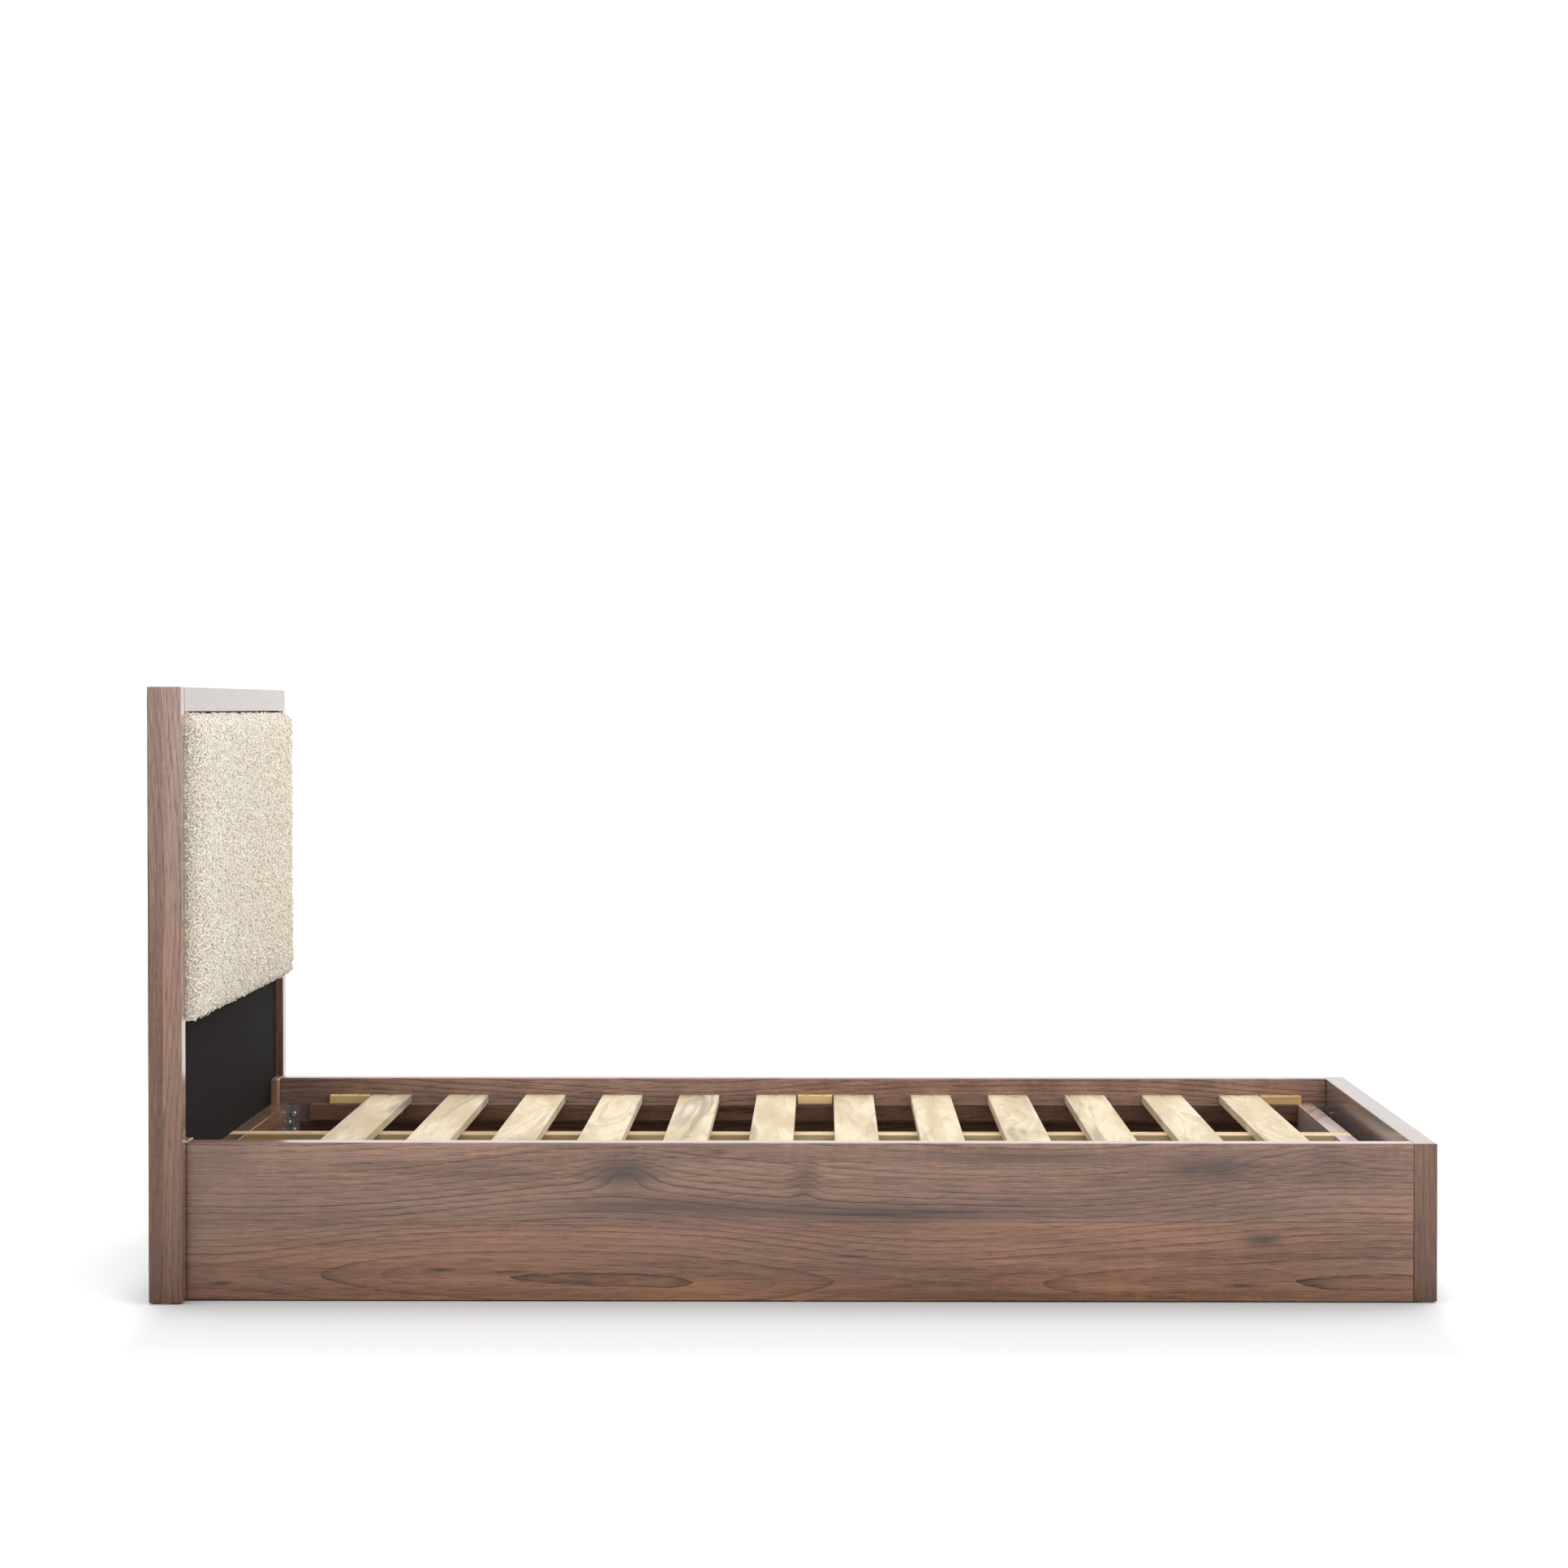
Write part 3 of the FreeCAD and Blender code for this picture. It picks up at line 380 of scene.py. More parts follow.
def bell(net, along, across, centre, reach):
    """A soft bump, 1 at the centre and 0 far from it. Centre and reach are (along, across) in metres."""
    u = net.mul(net.math("SUBTRACT", along, centre[0]), 1 / reach[0])
    v = net.mul(net.math("SUBTRACT", across, centre[1]), 1 / reach[1])
    return net.math("EXPONENT", net.mul(net.mad(u, u, net.mul(v, v)), -1.0))


class Marks(NamedTuple):
    """What a board shows beside its grain. Centres and reaches are (along, across) in metres."""

    knots: tuple = ()  # centre, reach, rings added and darkness
    smudges_and_shade: tuple = ()  # centre, reach and darkness of smudges and of painted shade
    flecks: tuple = ()  # centre, reach and darkness


class PaintedRise(NamedTuple):
    """Painted light and shade up a board's height: darker low down, lighter and greyer with painted haze
    higher up.
    """

    low: float
    high: float
    low_tone: float
    high_tone: float
    high_painted_haze: float


class Board(NamedTuple):
    """How a walnut board is cut and how light it is."""

    axes: str  # which of X, Y, Z runs along, across and into the board
    seed: float
    heart: float  # where the arches nest, in metres across the board
    split: float = None  # where two planks meet across the board, each with its own grain
    tones: tuple = (1.0, 1.0)  # how light the lower and the upper plank are
    cools: tuple = (0.2, 0.5)  # how grey they are
    marks: Marks = Marks()
    rise: PaintedRise = None
    sheen: float = 0.12
    cap: float = None  # past this along the grain, the board's end is faced with veneer turned across
    inner: tuple = None  # (y, tones): painted light and shade, the planks' other tones on the near side of y


def grain_axes(net, parts, board):
    """The place along, across and into the board, turned where veneer faces its end."""
    along, across, deep = (parts[AXES[a]] for a in board.axes)
    if board.cap is None:
        return along, across, deep
    faced = net.math("GREATER_THAN", net.math("ABSOLUTE", along), board.cap)
    return [net.pick(faced, a, b) for a, b in ((along, across), (across, deep), (deep, along))]


def grown(net, along, across, marks):
    """How many rings the knots add, and how dark the knots, the smudges and the painted shade are."""
    swell, smudge_and_shade = 0.0, 0.0
    for centre, reach, rings, dark in marks.knots:
        spot = bell(net, along, across, centre, reach)
        swell = net.mad(spot, rings, swell)
        smudge_and_shade = net.mad(spot, dark, smudge_and_shade)
    for centre, reach, dark in marks.smudges_and_shade:
        smudge_and_shade = net.mad(bell(net, along, across, centre, reach), dark, smudge_and_shade)
    return swell, smudge_and_shade


def plank_value(net, upper, pair):
    """The first of the pair on the lower plank, and the second on the upper one."""
    return net.mad(upper, pair[1] - pair[0], pair[0])


def joint(net, place, across, split):
    """The dark line where two planks meet, broken here and there."""
    gap = net.math("ABSOLUTE", net.math("SUBTRACT", across, split))
    broken = net.fit(net.noise(place, scale=JOINT_WAVES, detail=1.0), 0.40, 0.60)
    return net.mul(net.fit(gap, *JOINT_WIDTH), net.mul(broken, JOINT_SHARE))


def walnut(name, board):
    """Lacquered walnut."""
    material, net, shader, place = new_material(name)
    parts = net.split(place)
    along, across, deep = grain_axes(net, parts, board)
    swell, smudge_and_shade = grown(net, along, across, board.marks)
    group = net.node("ShaderNodeGroup", node_tree=bpy.data.node_groups["walnut_grain"])
    colour = group.outputs["Color"]
    seed, heart, tone, cool = board.seed, board.heart, board.tones[0], board.cools[0]
    if board.split is not None:
        upper = net.math("GREATER_THAN", across, board.split)
        seed = net.mad(upper, PLANK_SEED, seed)
        heart = net.mad(upper, PLANK_HEART, heart)
        cool = plank_value(net, upper, board.cools)
        tone = plank_value(net, upper, board.tones)
        # painted light and shade on the inner face
        if board.inner is not None:
            plane, inner_painted_tones = board.inner
            inside = net.math("LESS_THAN", parts[AXES["Y"]], plane)
            tone = net.pick(inside, tone, plank_value(net, upper, inner_painted_tones))
        colour = net.mix(joint(net, place, across, board.split), colour, MINERAL)
    # painted light and shade: darker low down, lighter and greyer higher up
    if board.rise is not None:
        low, high, low_tone, high_tone, high_painted_haze = board.rise
        height = parts[AXES["Z"]]
        tone = net.mul(tone, net.fit(height, low, high, low_tone, high_tone, smooth=False))
        cool = net.add(cool, net.fit(height, low, high, 0.0, high_painted_haze, smooth=False))
    green, blue = (net.math("POWER", tone, power) for power in DEEPEN)
    for socket, value in (
        ("Along", along),
        ("Across", across),
        ("Deep", deep),
        ("Seed", seed),
        ("Heart", heart),
        ("Swell", swell),
        ("SmudgeAndShade", smudge_and_shade),
        ("Cool", cool),
        ("Tone", net.join(tone, green, blue)),
    ):
        net.put(group.inputs[socket], value)
    for centre, reach, dark in board.marks.flecks:
        colour = net.mix(net.mul(bell(net, along, across, centre, reach), dark), colour, MINERAL)
    surface(net, shader, colour, group.outputs["Roughness"], net.bump(group.outputs["Height"], 0.10, 0.0002))
    plain(shader, Coat_Weight=1.0, Coat_Roughness=0.18, Coat_IOR=1.5, Specular_IOR_Level=0.0)
    plain(shader, Sheen_Weight=board.sheen, Sheen_Roughness=0.30)
    return material


RAIL_MARKS = Marks(
    knots=(
        ((-0.265, 0.204), (0.055, 0.024), 3.6, 0.95),
        ((0.018, 0.192), (0.022, 0.028), 1.9, 0.65),
        ((0.655, 0.212), (0.075, 0.020), -2.4, 0.90),
        ((0.845, 0.224), (0.045, 0.020), 2.0, 0.60),
    ),
    smudges_and_shade=(
        ((-0.20, 0.150), (0.20, 0.016), 0.70),
        ((0.16, 0.140), (0.20, 0.014), 0.80),
        ((0.36, 0.226), (0.20, 0.010), 0.70),
        ((0.735, 0.098), (0.030, 0.012), 0.85),
        ((0.600, 0.160), (0.16, 0.020), 0.30),
        ((-0.33, 0.120), (0.20, 0.008), 0.30),
        ((-0.90, 0.225), (0.05, 0.030), 0.40),
        ((0.30, 0.012), (0.16, 0.008), 0.60),
        ((-0.84, 0.150), (0.16, 0.150), 0.26),
    ),
    flecks=(
        ((-0.900, 0.028), (0.018, 0.0030), 0.8),
        ((-0.555, 0.050), (0.018, 0.0026), 0.8),
        ((-0.440, 0.047), (0.030, 0.0024), 0.7),
        ((0.120, 0.138), (0.060, 0.0016), 0.8),
        ((0.225, 0.141), (0.045, 0.0014), 0.8),
        ((0.090, 0.072), (0.026, 0.0020), 0.7),
        ((0.700, 0.027), (0.024, 0.0028), 0.8),
        ((-0.120, 0.236), (0.014, 0.0036), 0.6),
    ),
)
# painted shade on the far rail beside the headboard
FAR_HEAD_PAINTED_SHADE = Marks(smudges_and_shade=(((-0.90, 0.20), (0.22, 0.16), 0.40),))
# painted light and shade up each board: darker low down, lighter and greyer higher up
NEAR_PAINTED_RISE = PaintedRise(0.0, 0.24, 0.80, 1.09, 0.65)
FAR_PAINTED_RISE = PaintedRise(0.0, 0.12, 0.76, 1.0, 0.0)
FOOT_PAINTED_RISE = PaintedRise(0.0, 0.22, 0.62, 1.05, 0.2)
POST_PAINTED_RISE = PaintedRise(0.05, 0.90, 0.48, 1.28, 1.5)
# painted shade under the slats on the far rail's lower inner face, and painted light on its upper inner face
FAR_INNER_LIGHT_AND_SHADE = (0.62, 1.30)


def walnut_boards():
    """Every walnut board by name."""
    foot_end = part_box("footboard")[1].y - VENEER
    far_inner_light_and_shade = (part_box("side_rail_far")[0].y + 2 * VENEER, FAR_INNER_LIGHT_AND_SHADE)
    cross_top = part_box("foot_cross_board")[1].z
    # painted light and shade: the foot cross board's top face lighter and greyer, its sides darker
    cross_painted_highlight = PaintedRise(cross_top - 2 * VENEER, cross_top - VENEER, 0.7, 1.7, 0.8)
    # the cleats are darker: painted shade under the slats
    cleat = {"tones": (0.70, 0.70), "cools": (0.9, 0.9)}
    boards = {}
    boards["side_rail_near"] = Board(
        "XZY", 1.0, 0.034, 0.126, tones=(0.89, 0.89), cools=(0.0, 0.3), marks=RAIL_MARKS, rise=NEAR_PAINTED_RISE
    )
    # its greyer planks: partly the planks' own grey, partly painted reflection haze
    boards["side_rail_far"] = Board(
        "XZY", 2.3, 0.060, 0.168, tones=(0.90, 0.93), cools=(0.7, 1.0), marks=FAR_HEAD_PAINTED_SHADE, rise=FAR_PAINTED_RISE,
        inner=far_inner_light_and_shade,
    )
    boards["footboard"] = Board(
        "YZX", 3.1, 0.040, 0.130, tones=(0.50, 0.58), cools=(0.0, 0.9), rise=FOOT_PAINTED_RISE, sheen=0.05,
        cap=foot_end,
    )
    boards["headboard_side_near"] = Board(
        "ZXY", 4.7, -1.060, -0.9835, tones=(0.74, 1.0), cools=(0.1, 0.0), rise=POST_PAINTED_RISE
    )
    boards["headboard_side_far"] = Board(
        "ZXY", 5.9, -1.060, -0.985, tones=(0.95, 1.1), cools=(0.6, 0.3), rise=POST_PAINTED_RISE
    )
    # greyer: painted reflection haze on its front face, seen at a grazing angle
    boards["headboard_top_board"] = Board(
        "YXZ", 6.4, -0.990, tones=(0.50, 0.50), cools=(1.3, 1.3), sheen=0.45
    )
    boards["rail_end_block_near"] = Board("ZYX", 7.2, -0.505)
    boards["rail_end_block_far"] = Board("ZYX", 8.8, 0.505)
    # darker: painted shade under the slats at the head end
    boards["head_cross_board"] = Board("YZX", 9.5, 0.140, tones=(0.60, 0.60), cools=(0.0, 0.0), sheen=0.05)
    boards["foot_cross_board"] = Board("YZX", 10.9, 0.150, cools=(0.3, 0.3), rise=cross_painted_highlight, sheen=0.20)
    boards["cleat_near"] = Board("XZY", 11.6, 0.190, **cleat)
    boards["cleat_far"] = Board("XZY", 12.2, 0.190, **cleat)
    return boards


# ---- bare timber ----
class Timber(NamedTuple):
    """A bare pale timber: its colours, the shares of its marks, and how rough it is."""

    light: tuple
    dark: tuple
    streak: tuple
    rings: float
    streaks: float
    knots: float
    rough: float


SLAT = Timber(linear(214, 197, 166), linear(184, 162, 124), linear(120, 106, 84), 0.50, 0.75, 0.8, 0.50)
TAN = Timber(linear(226, 200, 154), linear(172, 140, 95), linear(120, 88, 56), 0.5, 0.35, 0.4, 0.55)
GOLDEN = Timber(linear(240, 208, 150), linear(204, 167, 112), linear(150, 112, 68), 0.5, 0.35, 0.4, 0.55)
TIMBER_SHIFT = (5.3, 2.9, 1.7)  # how far each step of the seed moves the grain along, across and in
TIMBER_GRAIN = {
    "swirl": ((0.9, 9.0, 9.0), 2.0, 0.5, 0.4),
    "seen": ((4.0, 14.0, 14.0), 1.0, 0.5, 0.0),
    "tone": ((3.0, 20.0, 20.0), 2.0, 0.5, 0.0),
    "fibre": ((12.0, 320.0, 320.0), 3.0, 0.6, 0.0),
    "grey": ((1.6, 17.0, 17.0), 3.0, 0.6, 0.7),
}
KNOT_CELLS = (5.5, 13.0, 13.0)  # knots per metre along, across and into the timber
SWIRL_RINGS = 15.0  # how far the swirl bends the rings, in rings
ACROSS_RINGS = 22.0  # rings crossed per metre


def streaked_wood(name, axes, seed, timber):
    """Bare pale timber with rings, grey streaks and knots."""
    material, net, shader, place = new_material(name)
    parts = net.split(place)
    along, across, deep = (parts[AXES[a]] for a in axes)
    spot = net.join(*(net.add(way, far * seed) for way, far in zip((along, across, deep), TIMBER_SHIFT)))
    grain = net.grain(spot, TIMBER_GRAIN)
    rings = net.math("FRACT", net.mad(grain["swirl"], SWIRL_RINGS, net.mul(across, ACROSS_RINGS)))
    line = net.mul(net.math("POWER", rings, 5.0), net.fit(grain["seen"], 0.42, 0.60))
    knot = net.cells(net.stretch(spot, KNOT_CELLS))
    coats = (
        (net.mul(line, timber.rings), timber.streak),
        (net.mul(rings, 0.30), timber.dark),
        (net.veil(grain["grey"], 0.53, 0.70, timber.streaks), timber.streak),
        (net.veil(knot, 0.13, 0.02, timber.knots), timber.streak),
        (net.veil(grain["fibre"], 0.48, 0.74, 0.25), timber.dark),
    )
    base = net.mix(net.fit(grain["tone"], 0.35, 0.68), timber.light, timber.dark)
    rough = net.mad(grain["fibre"], 0.16, timber.rough)
    surface(net, shader, net.lay(base, coats), rough, net.bump(grain["fibre"], 0.30, 0.0005))
    plain(shader, Specular_IOR_Level=0.25, Sheen_Weight=0.12, Sheen_Roughness=0.35)
    return material


PLY = 0.0028  # a light and a dark layer of plywood
PLY_GRAIN = {
    "face": ((60.0, 3.0, 40.0), 3.0, 0.6, 0.0),
    "fibre": ((300.0, 14.0, 300.0), 2.0, 0.5, 0.0),
}


def plywood():
    material, net, shader, place = new_material("plywood_birch")
    layer = net.math("FRACT", net.mul(net.split(place)[0], 1 / PLY))
    grain = net.grain(place, PLY_GRAIN)
    coats = (
        (net.mul(net.math("GREATER_THAN", layer, 0.5), 0.35), linear(150, 112, 78)),
        (net.veil(grain["fibre"], 0.50, 0.72, 0.3), linear(160, 124, 88)),
    )
    base = net.mix(net.fit(grain["face"], 0.35, 0.65), linear(222, 194, 154), linear(196, 160, 118))
    rough = net.mad(grain["fibre"], 0.2, 0.55)
    surface(net, shader, net.lay(base, coats), rough, net.bump(grain["fibre"], 0.3, 0.0004))
    return material


# ---- coatings and metal ----
CLOUD_GRAINS = 60  # how many grains wide a cloud is


def speckled(name, dark, light, scale, rough, relief, level):
    """A fine-grained coating: matt board facing, textured powder coat or moulded nylon."""
    material, net, shader, place = new_material(name)
    grain = net.noise(place, scale=scale, detail=3.0, roughness=0.6)
    cloud = net.noise(place, scale=scale / CLOUD_GRAINS, detail=2.0)
    share = net.mad(net.fit(grain, 0.50, 0.70), 0.85, net.mul(cloud, 0.15))
    colour = net.mix(share, dark, light)
    surface(net, shader, colour, net.mad(grain, 0.2, rough), net.bump(grain, relief, 0.0003))
    plain(shader, Specular_IOR_Level=level)
    return material


def board_facing():
    return speckled("black_facing", linear(29, 26, 25), linear(38, 35, 34), 900.0, 0.8, 0.2, 0.05)


def powder_coat():
    # its near-white speckles are painted glints of light on the black coat
    return speckled("powder_coat", linear(30, 30, 30), linear(225, 224, 222), 1000.0, 0.20, 1.0, 1.0)


def nylon():
    return speckled("nylon_white", linear(206, 204, 198), linear(228, 226, 220), 500.0, 0.4, 0.1, 0.5)


def zinc():
    material, net, shader, place = new_material("zinc_plated")
    grain = net.noise(place, scale=900.0, detail=3.0)
    cloud = net.noise(place, scale=140.0, detail=2.0)
    colour = net.mix(cloud, linear(214, 216, 220), linear(176, 176, 172))
    surface(net, shader, colour, net.mad(grain, 0.16, 0.16), net.bump(grain, 0.12, 0.0002))
    plain(shader, Metallic=1.0)
    return material


# ---- boucle yarn ----
BOUCLE_LIGHT = linear(255, 251, 242)
BOUCLE_MID = linear(242, 233, 214)
BOUCLE_SHADE = linear(172, 156, 132)
# painted shade in the gaps between the loops, laid over the cloth under them
BOUCLE_GAP_SHADE = linear(178, 163, 138)
GAP_SHADE_SHARE = 0.58


def boucle(name, ground):
    """Looped wool-blend yarn: soft sheen, twisted plies and slight colour changes between loops."""
    material, net, shader, place = new_material(name)
    loops = net.noise(place, scale=190.0, detail=2.0, roughness=0.6)
    clouds = net.noise(place, scale=9.0, detail=2.0)
    plies = net.noise(place, scale=1500.0, detail=2.0)
    coats = [
        (net.veil(clouds, 0.35, 0.65, 0.25), BOUCLE_MID),
        (net.veil(plies, 0.50, 0.75, 0.35), BOUCLE_SHADE),
    ]
    # painted shade: the cloth under the loops is darker
    if ground:
        coats.append((GAP_SHADE_SHARE, BOUCLE_GAP_SHADE))
    base = net.mix(net.fit(loops, 0.34, 0.66), BOUCLE_LIGHT, BOUCLE_MID)
    surface(net, shader, net.lay(base, coats), net.mad(plies, 0.1, 0.85), net.bump(plies, 0.5, 0.0004))
    plain(shader, Specular_IOR_Level=0.15, Sheen_Weight=0.75, Sheen_Roughness=0.45)
    return material


# ---- upholstered panel ----
def pad_mesh(low, high):
    """A closed rounded board: the cloth pulled over the foam, before it swells."""
    mesh = bpy.data.meshes.new("panel_upholstery")
    pad = bpy.data.objects.new("panel_upholstery", mesh)
    bpy.context.scene.collection.objects.link(pad)
    lo = np.array(low) + (BACK_GAP, PAD_INSET, PAD_INSET)
    hi = np.array(high) - (PAD_INSET, PAD_INSET, PAD_INSET)
    corners = [(x, y, z) for x in (lo[0], hi[0]) for y in (lo[1], hi[1]) for z in (lo[2], hi[2])]
    faces = [(0, 1, 3, 2), (4, 6, 7, 5), (0, 4, 5, 1), (2, 3, 7, 6), (0, 2, 6, 4), (1, 5, 7, 3)]
    mesh.from_pydata(corners, [], faces)
    weight = mesh.attributes.new("bevel_weight_edge", "FLOAT", "EDGE")
    for edge in mesh.edges:
        on_front = [mesh.vertices[v].co.x > (lo[0] + hi[0]) / 2 for v in edge.vertices]
        weight.data[edge.index].value = 1.0 if any(on_front) else PAD_BACK_WEIGHT
    bevel = pad.modifiers.new("round", "BEVEL")
    bevel.width = PAD_RADIUS
    bevel.segments = 6
    bevel.limit_method = "WEIGHT"
    remesh = pad.modifiers.new("remesh", "REMESH")
    remesh.mode = "VOXEL"
    remesh.voxel_size = VOXEL
    settle(pad)
    return pad


def settle(obj):
    """Applies every modifier on obj."""
    depsgraph = bpy.context.evaluated_depsgraph_get()
    done = bpy.data.meshes.new_from_object(obj.evaluated_get(depsgraph))
    obj.modifiers.clear()
    obj.data = done


def points_of(mesh):
    co = np.zeros(len(mesh.vertices) * 3)
    mesh.vertices.foreach_get("co", co)
    return co.reshape(-1, 3)


def inflate(pad, held_points):
    """Runs a cloth simulation with pressure inside the pad, its held points fixed."""
    held = pad.vertex_groups.new(name="held")
    held.add([int(i) for i in held_points], 1.0, "REPLACE")
    cloth = pad.modifiers.new("cloth", "CLOTH")
    cloth.settings.quality = CLOTH_QUALITY
    cloth.settings.use_pressure = True
    cloth.settings.uniform_pressure_force = PRESSURE
    cloth.settings.vertex_group_mass = "held"
    cloth.settings.effector_weights.gravity = 0.0
    cloth.collision_settings.use_collision = False
    cloth.collision_settings.use_self_collision = False
    cloth.point_cache.frame_start = 1
    cloth.point_cache.frame_end = SIM_FRAMES
    scene = bpy.context.scene
    for number in range(1, SIM_FRAMES + 1):
        scene.frame_set(number)
    settle(pad)
    scene.frame_set(1)


def swell(pad, low, high):
    """Swells the cloth. Its back stays flat on the board, and no point moves past the cap."""
    start = points_of(pad.data)
    inflate(pad, np.nonzero(start[:, 0] < low[0] + BACK_DEPTH)[0])
    moved = points_of(pad.data) - start
    far = np.linalg.norm(moved, axis=1)
    moved *= np.minimum(1.0, SIM_CAP / np.maximum(far, 1e-9))[:, None]
    side = PAD_INSET * SIDE_SPARE
    least = np.array(low) + (BACK_GAP, side, side)
    most = np.array(high) - (PAD_INSET * FRONT_SPARE, side, side)
    end = np.clip(start + moved, least, most)
    pad.data.vertices.foreach_set("co", end.ravel())
    pad.data.update()


def scatter(mesh, rng):
    """Points spread evenly over the mesh, with their normals."""
    mesh.calc_loop_triangles()
    corner = np.zeros(len(mesh.loop_triangles) * 3, np.int32)
    mesh.loop_triangles.foreach_get("vertices", corner)
    a, b, c = (points_of(mesh)[corner[k::3]] for k in range(3))
    cross = np.cross(b - a, c - a)
    area = np.linalg.norm(cross, axis=1) / 2
    keep = area > 1e-12
    a, b, c, cross, area = a[keep], b[keep], c[keep], cross[keep], area[keep]
    total = area.sum()
    count = int(total / PILE_PITCH**2 * PILE_TRIES)
    chosen = rng.choice(len(area), size=count, p=area / total)
    r1, r2 = np.sqrt(rng.random(count)), rng.random(count)
    place = a[chosen] * (1 - r1)[:, None]
    place += b[chosen] * (r1 * (1 - r2))[:, None]
    place += c[chosen] * (r1 * r2)[:, None]
    normal = cross[chosen] / (2 * area[chosen])[:, None]
    # thin the crowd: one point for each small cube of space
    cube = np.floor(place / (PILE_PITCH * PILE_CELL)).astype(np.int64) * CELL_HASH
    first = np.unique(cube[:, 0] ^ cube[:, 1] ^ cube[:, 2], return_index=True)[1]
    first.sort()
    return place[first], normal[first]


def between(ends, share):
    """The value this share of the way from the first end to the second."""
    return ends[0] + (ends[1] - ends[0]) * share


def loop_rings(place, normal, rng):
    """Rings of points round the yarn of every loop, from one end of it to the other."""
    count = len(place)
    helper = np.where(np.abs(normal[:, 2:3]) < 0.9, [[0.0, 0.0, 1.0]], [[0.0, 1.0, 0.0]])
    side = np.cross(normal, helper)
    side /= np.linalg.norm(side, axis=1)[:, None]
    other = np.cross(normal, side)
    spin = rng.random(count) * 2 * math.pi
    tangent = side * np.cos(spin)[:, None] + other * np.sin(spin)[:, None]
    lean = (rng.random(count) - 0.5) * LOOP_LEAN
    across = np.cross(normal, tangent)
    rise = normal * np.cos(lean)[:, None] + across * np.sin(lean)[:, None]
    radius = between(LOOP_RADIUS, rng.random(count) ** LONG_LOOPS)
    yarn = between(YARN_RADIUS, rng.random(count))[:, None]
    begin = LOOP_BEGIN[0] + LOOP_BEGIN[1] * rng.random(count)
    sweep = LOOP_SWEEP[0] + LOOP_SWEEP[1] * rng.random(count)
    pitch = (rng.random(count) - 0.5) * LOOP_PITCH
    place = place + normal * (rng.random(count) ** HIGH_LOOPS * LOOP_LIFT)[:, None]
    binormal = np.cross(tangent, rise)
    size, waves = LOOP_WOBBLE
    rings = []
    for i in range(LOOP_RINGS):
        share = i / (LOOP_RINGS - 1)
        angle = begin + sweep * share
        outward = tangent * np.cos(angle)[:, None] + rise * np.sin(angle)[:, None]
        reach = radius * (1 + size * np.sin(waves * angle + spin))
        centre = place + outward * reach[:, None] + binormal * (pitch * (share - 0.5) * 2)[:, None]
        for k in range(YARN_SIDES):
            turn = 2 * math.pi * k / YARN_SIDES + YARN_TWIST * share
            rings.append(centre + (outward * math.cos(turn) + binormal * math.sin(turn)) * yarn)
    return rings


def loop_faces():
    """Triangles of one loop: its side, then a fan of them at each end."""
    faces = []
    for i in range(LOOP_RINGS - 1):
        for k in range(YARN_SIDES):
            n = (k + 1) % YARN_SIDES
            a, b = i * YARN_SIDES + k, i * YARN_SIDES + n
            faces.append((a, a + YARN_SIDES, b + YARN_SIDES))
            faces.append((a, b + YARN_SIDES, b))
    last = (LOOP_RINGS - 1) * YARN_SIDES
    start_tip, end_tip = LOOP_RINGS * YARN_SIDES, LOOP_RINGS * YARN_SIDES + 1
    for k in range(YARN_SIDES):
        n = (k + 1) % YARN_SIDES
        faces.append((k, n, start_tip))
        faces.append((last + n, last + k, end_tip))
    return np.array(faces)


def loops_mesh(name, place, normal, room, rng):
    """One mesh of small curled yarn loops standing on the given points, kept inside room."""
    rings = loop_rings(place, normal, rng)
    ends = rings[:YARN_SIDES], rings[: -1 - YARN_SIDES : -1]
    tips = [sum(e) / YARN_SIDES for e in ends]
    verts = np.clip(np.stack(rings + tips, axis=1).reshape(-1, 3), room[0], room[1])
    starts = np.arange(len(place)) * (LOOP_RINGS * YARN_SIDES + 2)
    tri = (loop_faces()[None] + starts[:, None, None]).reshape(-1, 3)
    mesh = bpy.data.meshes.new(name)
    mesh.vertices.add(len(verts))
    mesh.vertices.foreach_set("co", verts.ravel())
    mesh.loops.add(len(tri) * 3)
    mesh.loops.foreach_set("vertex_index", tri.ravel())
    mesh.polygons.add(len(tri))
    mesh.polygons.foreach_set("loop_start", np.arange(0, len(tri) * 3, 3))
    mesh.polygons.foreach_set("use_smooth", np.ones(len(tri), bool))
    mesh.update(calc_edges=True)
    obj = bpy.data.objects.new(name, mesh)
    bpy.context.scene.collection.objects.link(obj)
    return obj


def pile(pad, low, high):
    """The looped pile on the pad, between the boards round it."""
    rng = np.random.default_rng(PILE_SEED)
    place, normal = scatter(pad.data, rng)
    shown = place[:, 0] > low[0] + PILE_START
    place, normal = place[shown], normal[shown]
    order = np.argsort(place[:, 1], kind="stable")
    side_near, side_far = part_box("headboard_side_near")[1].y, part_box("headboard_side_far")[0].y
    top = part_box("headboard_top_board")[0].z
    room = (
        (low[0] + PILE_CLEAR, side_near + PILE_CLEAR, 0.0),
        (high[0] + 2 * LOOP_LIFT, side_far - PILE_CLEAR, top - PILE_CLEAR),
    )
    yarn = boucle("boucle_yarn", ground=False)
    for number, group in enumerate(np.array_split(order, PILE_GROUPS), 1):
        loops = loops_mesh(f"panel_pile_{number}", place[group], normal[group], room, rng)
        loops.data.materials.append(yarn)
        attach(loops, "root")


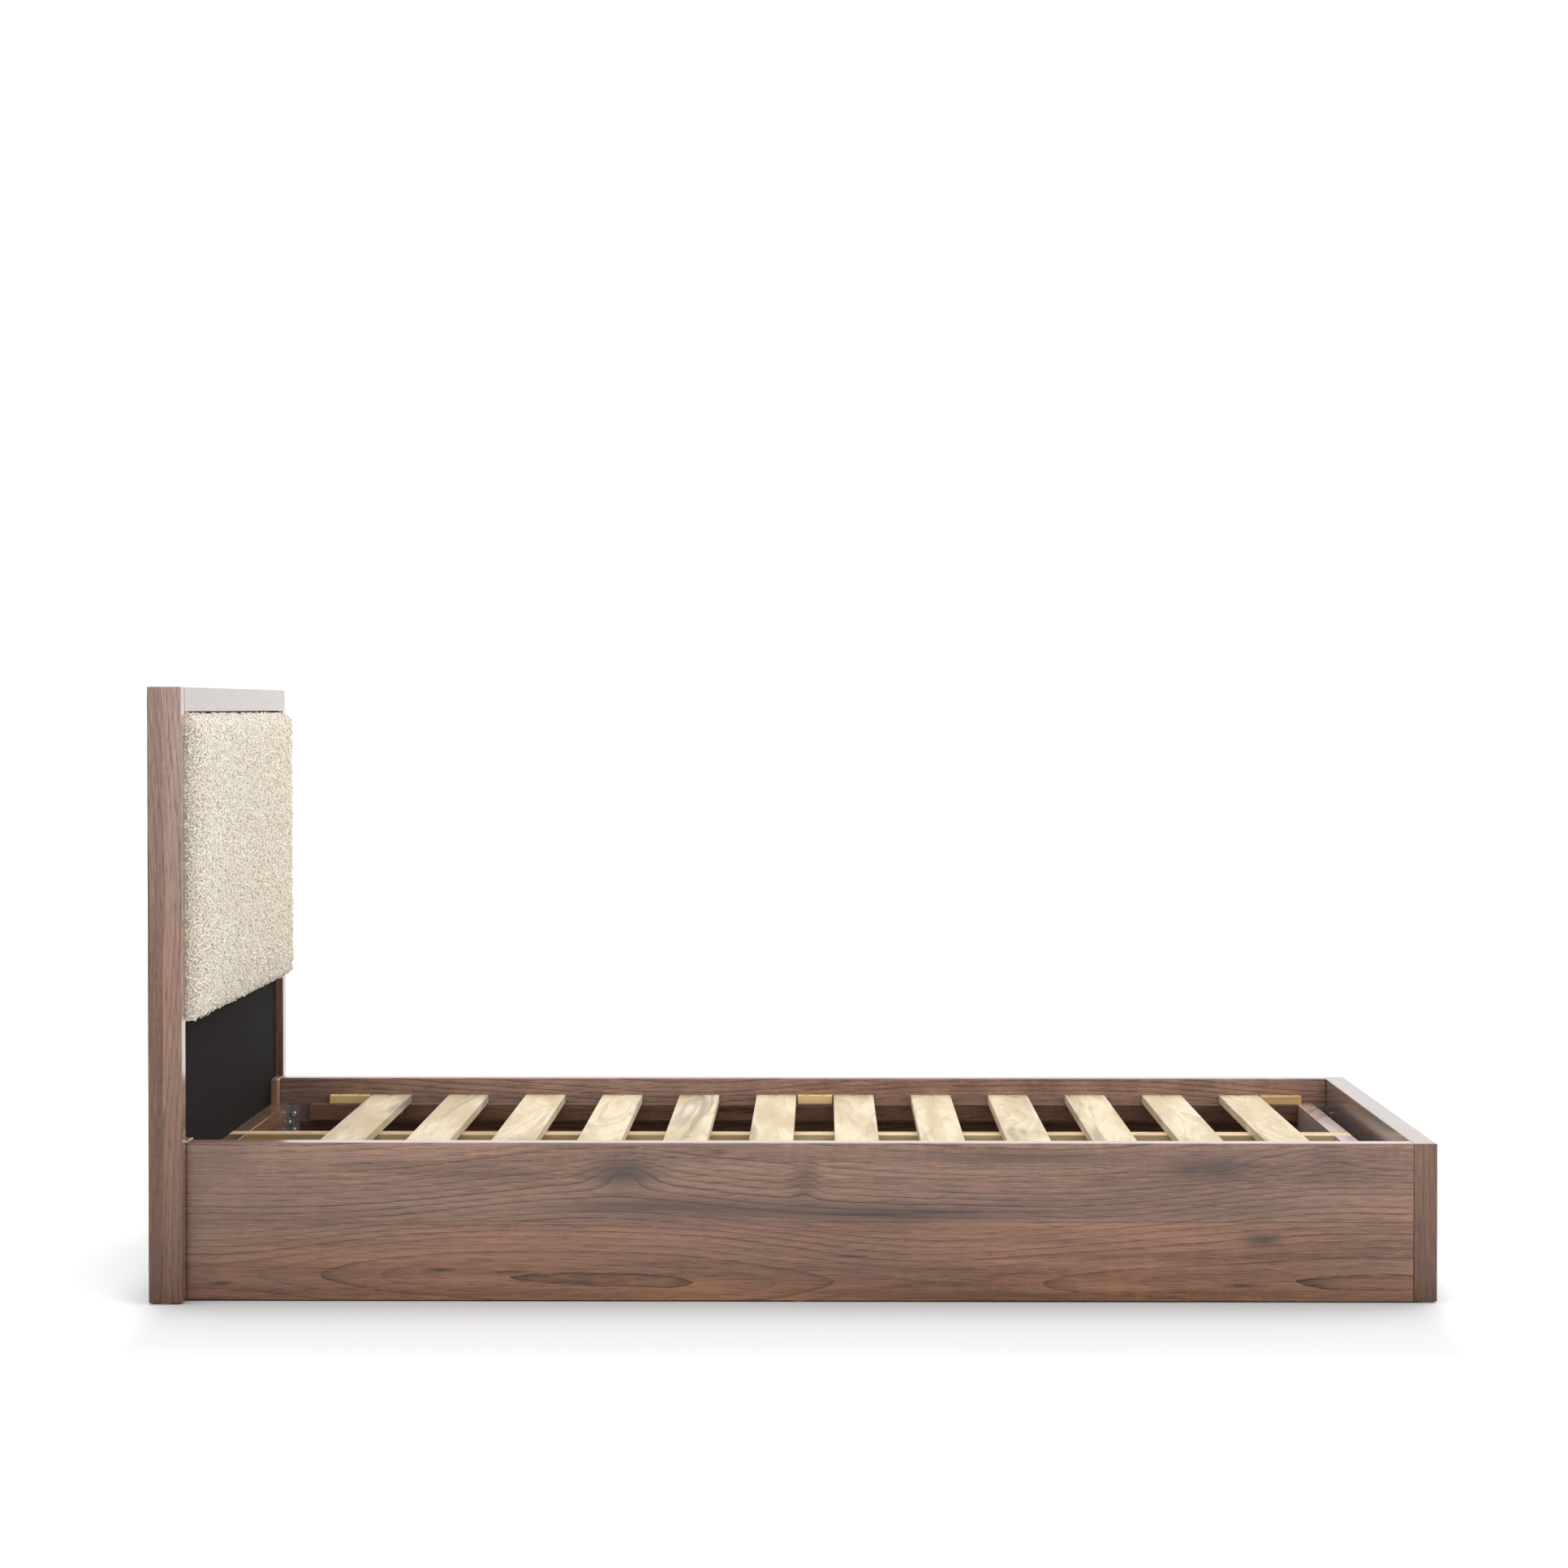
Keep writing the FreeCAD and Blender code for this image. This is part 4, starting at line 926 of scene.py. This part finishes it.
def upholstery():
    """The padded cover and its looped pile, standing for the plain CAD cover and foam."""
    low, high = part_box("panel_cover")
    pad = pad_mesh(low, high)
    swell(pad, low, high)
    smooth = pad.modifiers.new("finer", "SUBSURF")
    smooth.levels = 1
    settle(pad)
    for face in pad.data.polygons:
        face.use_smooth = True
    pad.data.materials.clear()
    pad.data.materials.append(boucle("boucle_ground", ground=True))
    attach(pad, "root")
    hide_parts("panel_cover", "panel_foam")
    pile(pad, low, high)


# ---- materials on the CAD nodes ----
PINE_SEED_STEP = 0.53
SLAT_SEED_STEP = 0.37


def dress(nodes):
    """Gives every shown CAD node its own finished material."""
    walnut_group()
    boards = walnut_boards()
    by_slot = {
        "plywood": plywood(),
        "black_panel": board_facing(),
        "black_steel": powder_coat(),
        "zinc_steel": zinc(),
        "nylon": nylon(),
    }
    for number, (name, node) in enumerate(sorted(nodes.items())):
        slot = node.data.materials[0].name.split(".")[0]
        if name in boards:
            made = walnut("walnut_" + name, boards[name])
        elif slot == "slat_wood":
            made = streaked_wood("wood_" + name, "YXZ", 1.0 + SLAT_SEED_STEP * number, SLAT)
        elif slot == "pine":
            axes = "ZXY" if name == "centre_leg" else "XYZ"
            timber = GOLDEN if name.startswith("spacer") else TAN
            made = streaked_wood("wood_" + name, axes, 1.0 + PINE_SEED_STEP * number, timber)
        elif slot in by_slot:
            made = by_slot[slot]
        else:
            continue
        node.data.materials[0] = made


# ---- studio ----
def sky():
    """A white world whose light comes in a few soft lobes."""
    scene = bpy.context.scene
    world = bpy.data.worlds.new("studio")
    world.use_nodes = True
    net = Net(world.node_tree)
    background = world.node_tree.nodes["Background"]
    direction = net.node("ShaderNodeTexCoord").outputs["Generated"]
    light = SKY_BASE
    for towards, strength, exponent in GLOWS:
        facing = net.node("ShaderNodeVectorMath", operation="DOT_PRODUCT")
        net.put(facing.inputs[0], direction)
        facing.inputs[1].default_value = towards
        lobe = net.math("POWER", net.math("MAXIMUM", facing.outputs["Value"], 0.0), exponent)
        light = net.mad(lobe, strength, light)
    background.inputs["Color"].default_value = WHITE
    net.put(background.inputs["Strength"], light)
    scene.world = world
    scene.view_settings.view_transform = "Standard"


def paper():
    """White paper with a painted shadow in front of the bed, painted shade under it and a painted glow
    beyond its ends.
    """
    material, net, shader, place = new_material("studio_paper")
    cloud = net.noise(place, scale=FLOOR_CLOUD, detail=2.0)
    x, y = net.split(place)[:2]
    x_size, y_size = net.math("ABSOLUTE", x), net.math("ABSOLUTE", y)
    beside = net.fit(x_size, *FRONT_HALF)
    before = net.mul(net.fit(y, *FRONT_REACH), net.math("LESS_THAN", y, 0.0))
    ahead = net.mul(before, net.math("SUBTRACT", 1.0, beside))
    inside_x, inside_y = (net.math("LESS_THAN", s, half) for s, half in zip((x_size, y_size), UNDER_HALF))
    # painted shadow in front of the bed, then painted shade under it
    shade = net.mad(ahead, FLOOR_PAINTED_SHADOW - FLOOR_SHADE, FLOOR_SHADE)
    shade = net.pick(net.mul(inside_x, inside_y), shade, FLOOR_PAINTED_UNDER_SHADE)
    shade = net.mad(cloud, 0.01, shade)
    shader.inputs["Emission Color"].default_value = WHITE
    # painted glow: the floor gives off light beyond the bed's ends
    net.put(shader.inputs["Emission Strength"], net.mul(beside, FLOOR_PAINTED_GLOW))
    net.put(shader.inputs["Base Color"], net.join(shade, shade, shade))
    net.put(shader.inputs["Roughness"], net.mad(cloud, 0.05, 0.9))
    plain(shader, Specular_IOR_Level=0.0)
    return material


def floor():
    mesh = bpy.data.meshes.new("studio_floor")
    edge = FLOOR_HALF
    corners = [(-edge, -edge, 0), (edge, -edge, 0), (edge, edge, 0), (-edge, edge, 0)]
    mesh.from_pydata(corners, [], [(0, 1, 2, 3)])
    sheet = bpy.data.objects.new("studio_floor", mesh)
    bpy.context.scene.collection.objects.link(sheet)
    mesh.materials.append(paper())


def lamps():
    for name, place, target, size, energy in LAMPS:
        lamp = bpy.data.lights.new(name, "AREA")
        lamp.size = size
        lamp.energy = energy
        holder = bpy.data.objects.new(name, lamp)
        bpy.context.scene.collection.objects.link(holder)
        holder.location = place
        aim = Vector(target) - Vector(place)
        holder.rotation_euler = aim.to_track_quat("-Z", "Y").to_euler()


def camera():
    lens = bpy.data.cameras.new("camera")
    lens.sensor_width = SENSOR_WIDTH
    lens.lens = FOCAL_LENGTH
    lens.clip_start = CLIP_START
    lens.clip_end = CLIP_END
    holder = bpy.data.objects.new("camera", lens)
    bpy.context.scene.collection.objects.link(holder)
    holder.location = CAMERA_PLACE
    holder.rotation_euler = (math.pi / 2 - CAMERA_PITCH, 0.0, CAMERA_YAW)
    bpy.context.scene.camera = holder


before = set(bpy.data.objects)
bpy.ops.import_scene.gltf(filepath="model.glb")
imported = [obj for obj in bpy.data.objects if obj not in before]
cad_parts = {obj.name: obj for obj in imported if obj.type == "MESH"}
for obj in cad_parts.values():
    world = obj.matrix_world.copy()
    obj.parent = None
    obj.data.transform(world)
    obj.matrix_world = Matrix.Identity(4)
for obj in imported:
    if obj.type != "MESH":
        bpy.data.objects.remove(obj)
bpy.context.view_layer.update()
dress(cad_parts)
upholstery()
sky()
floor()
lamps()
camera()
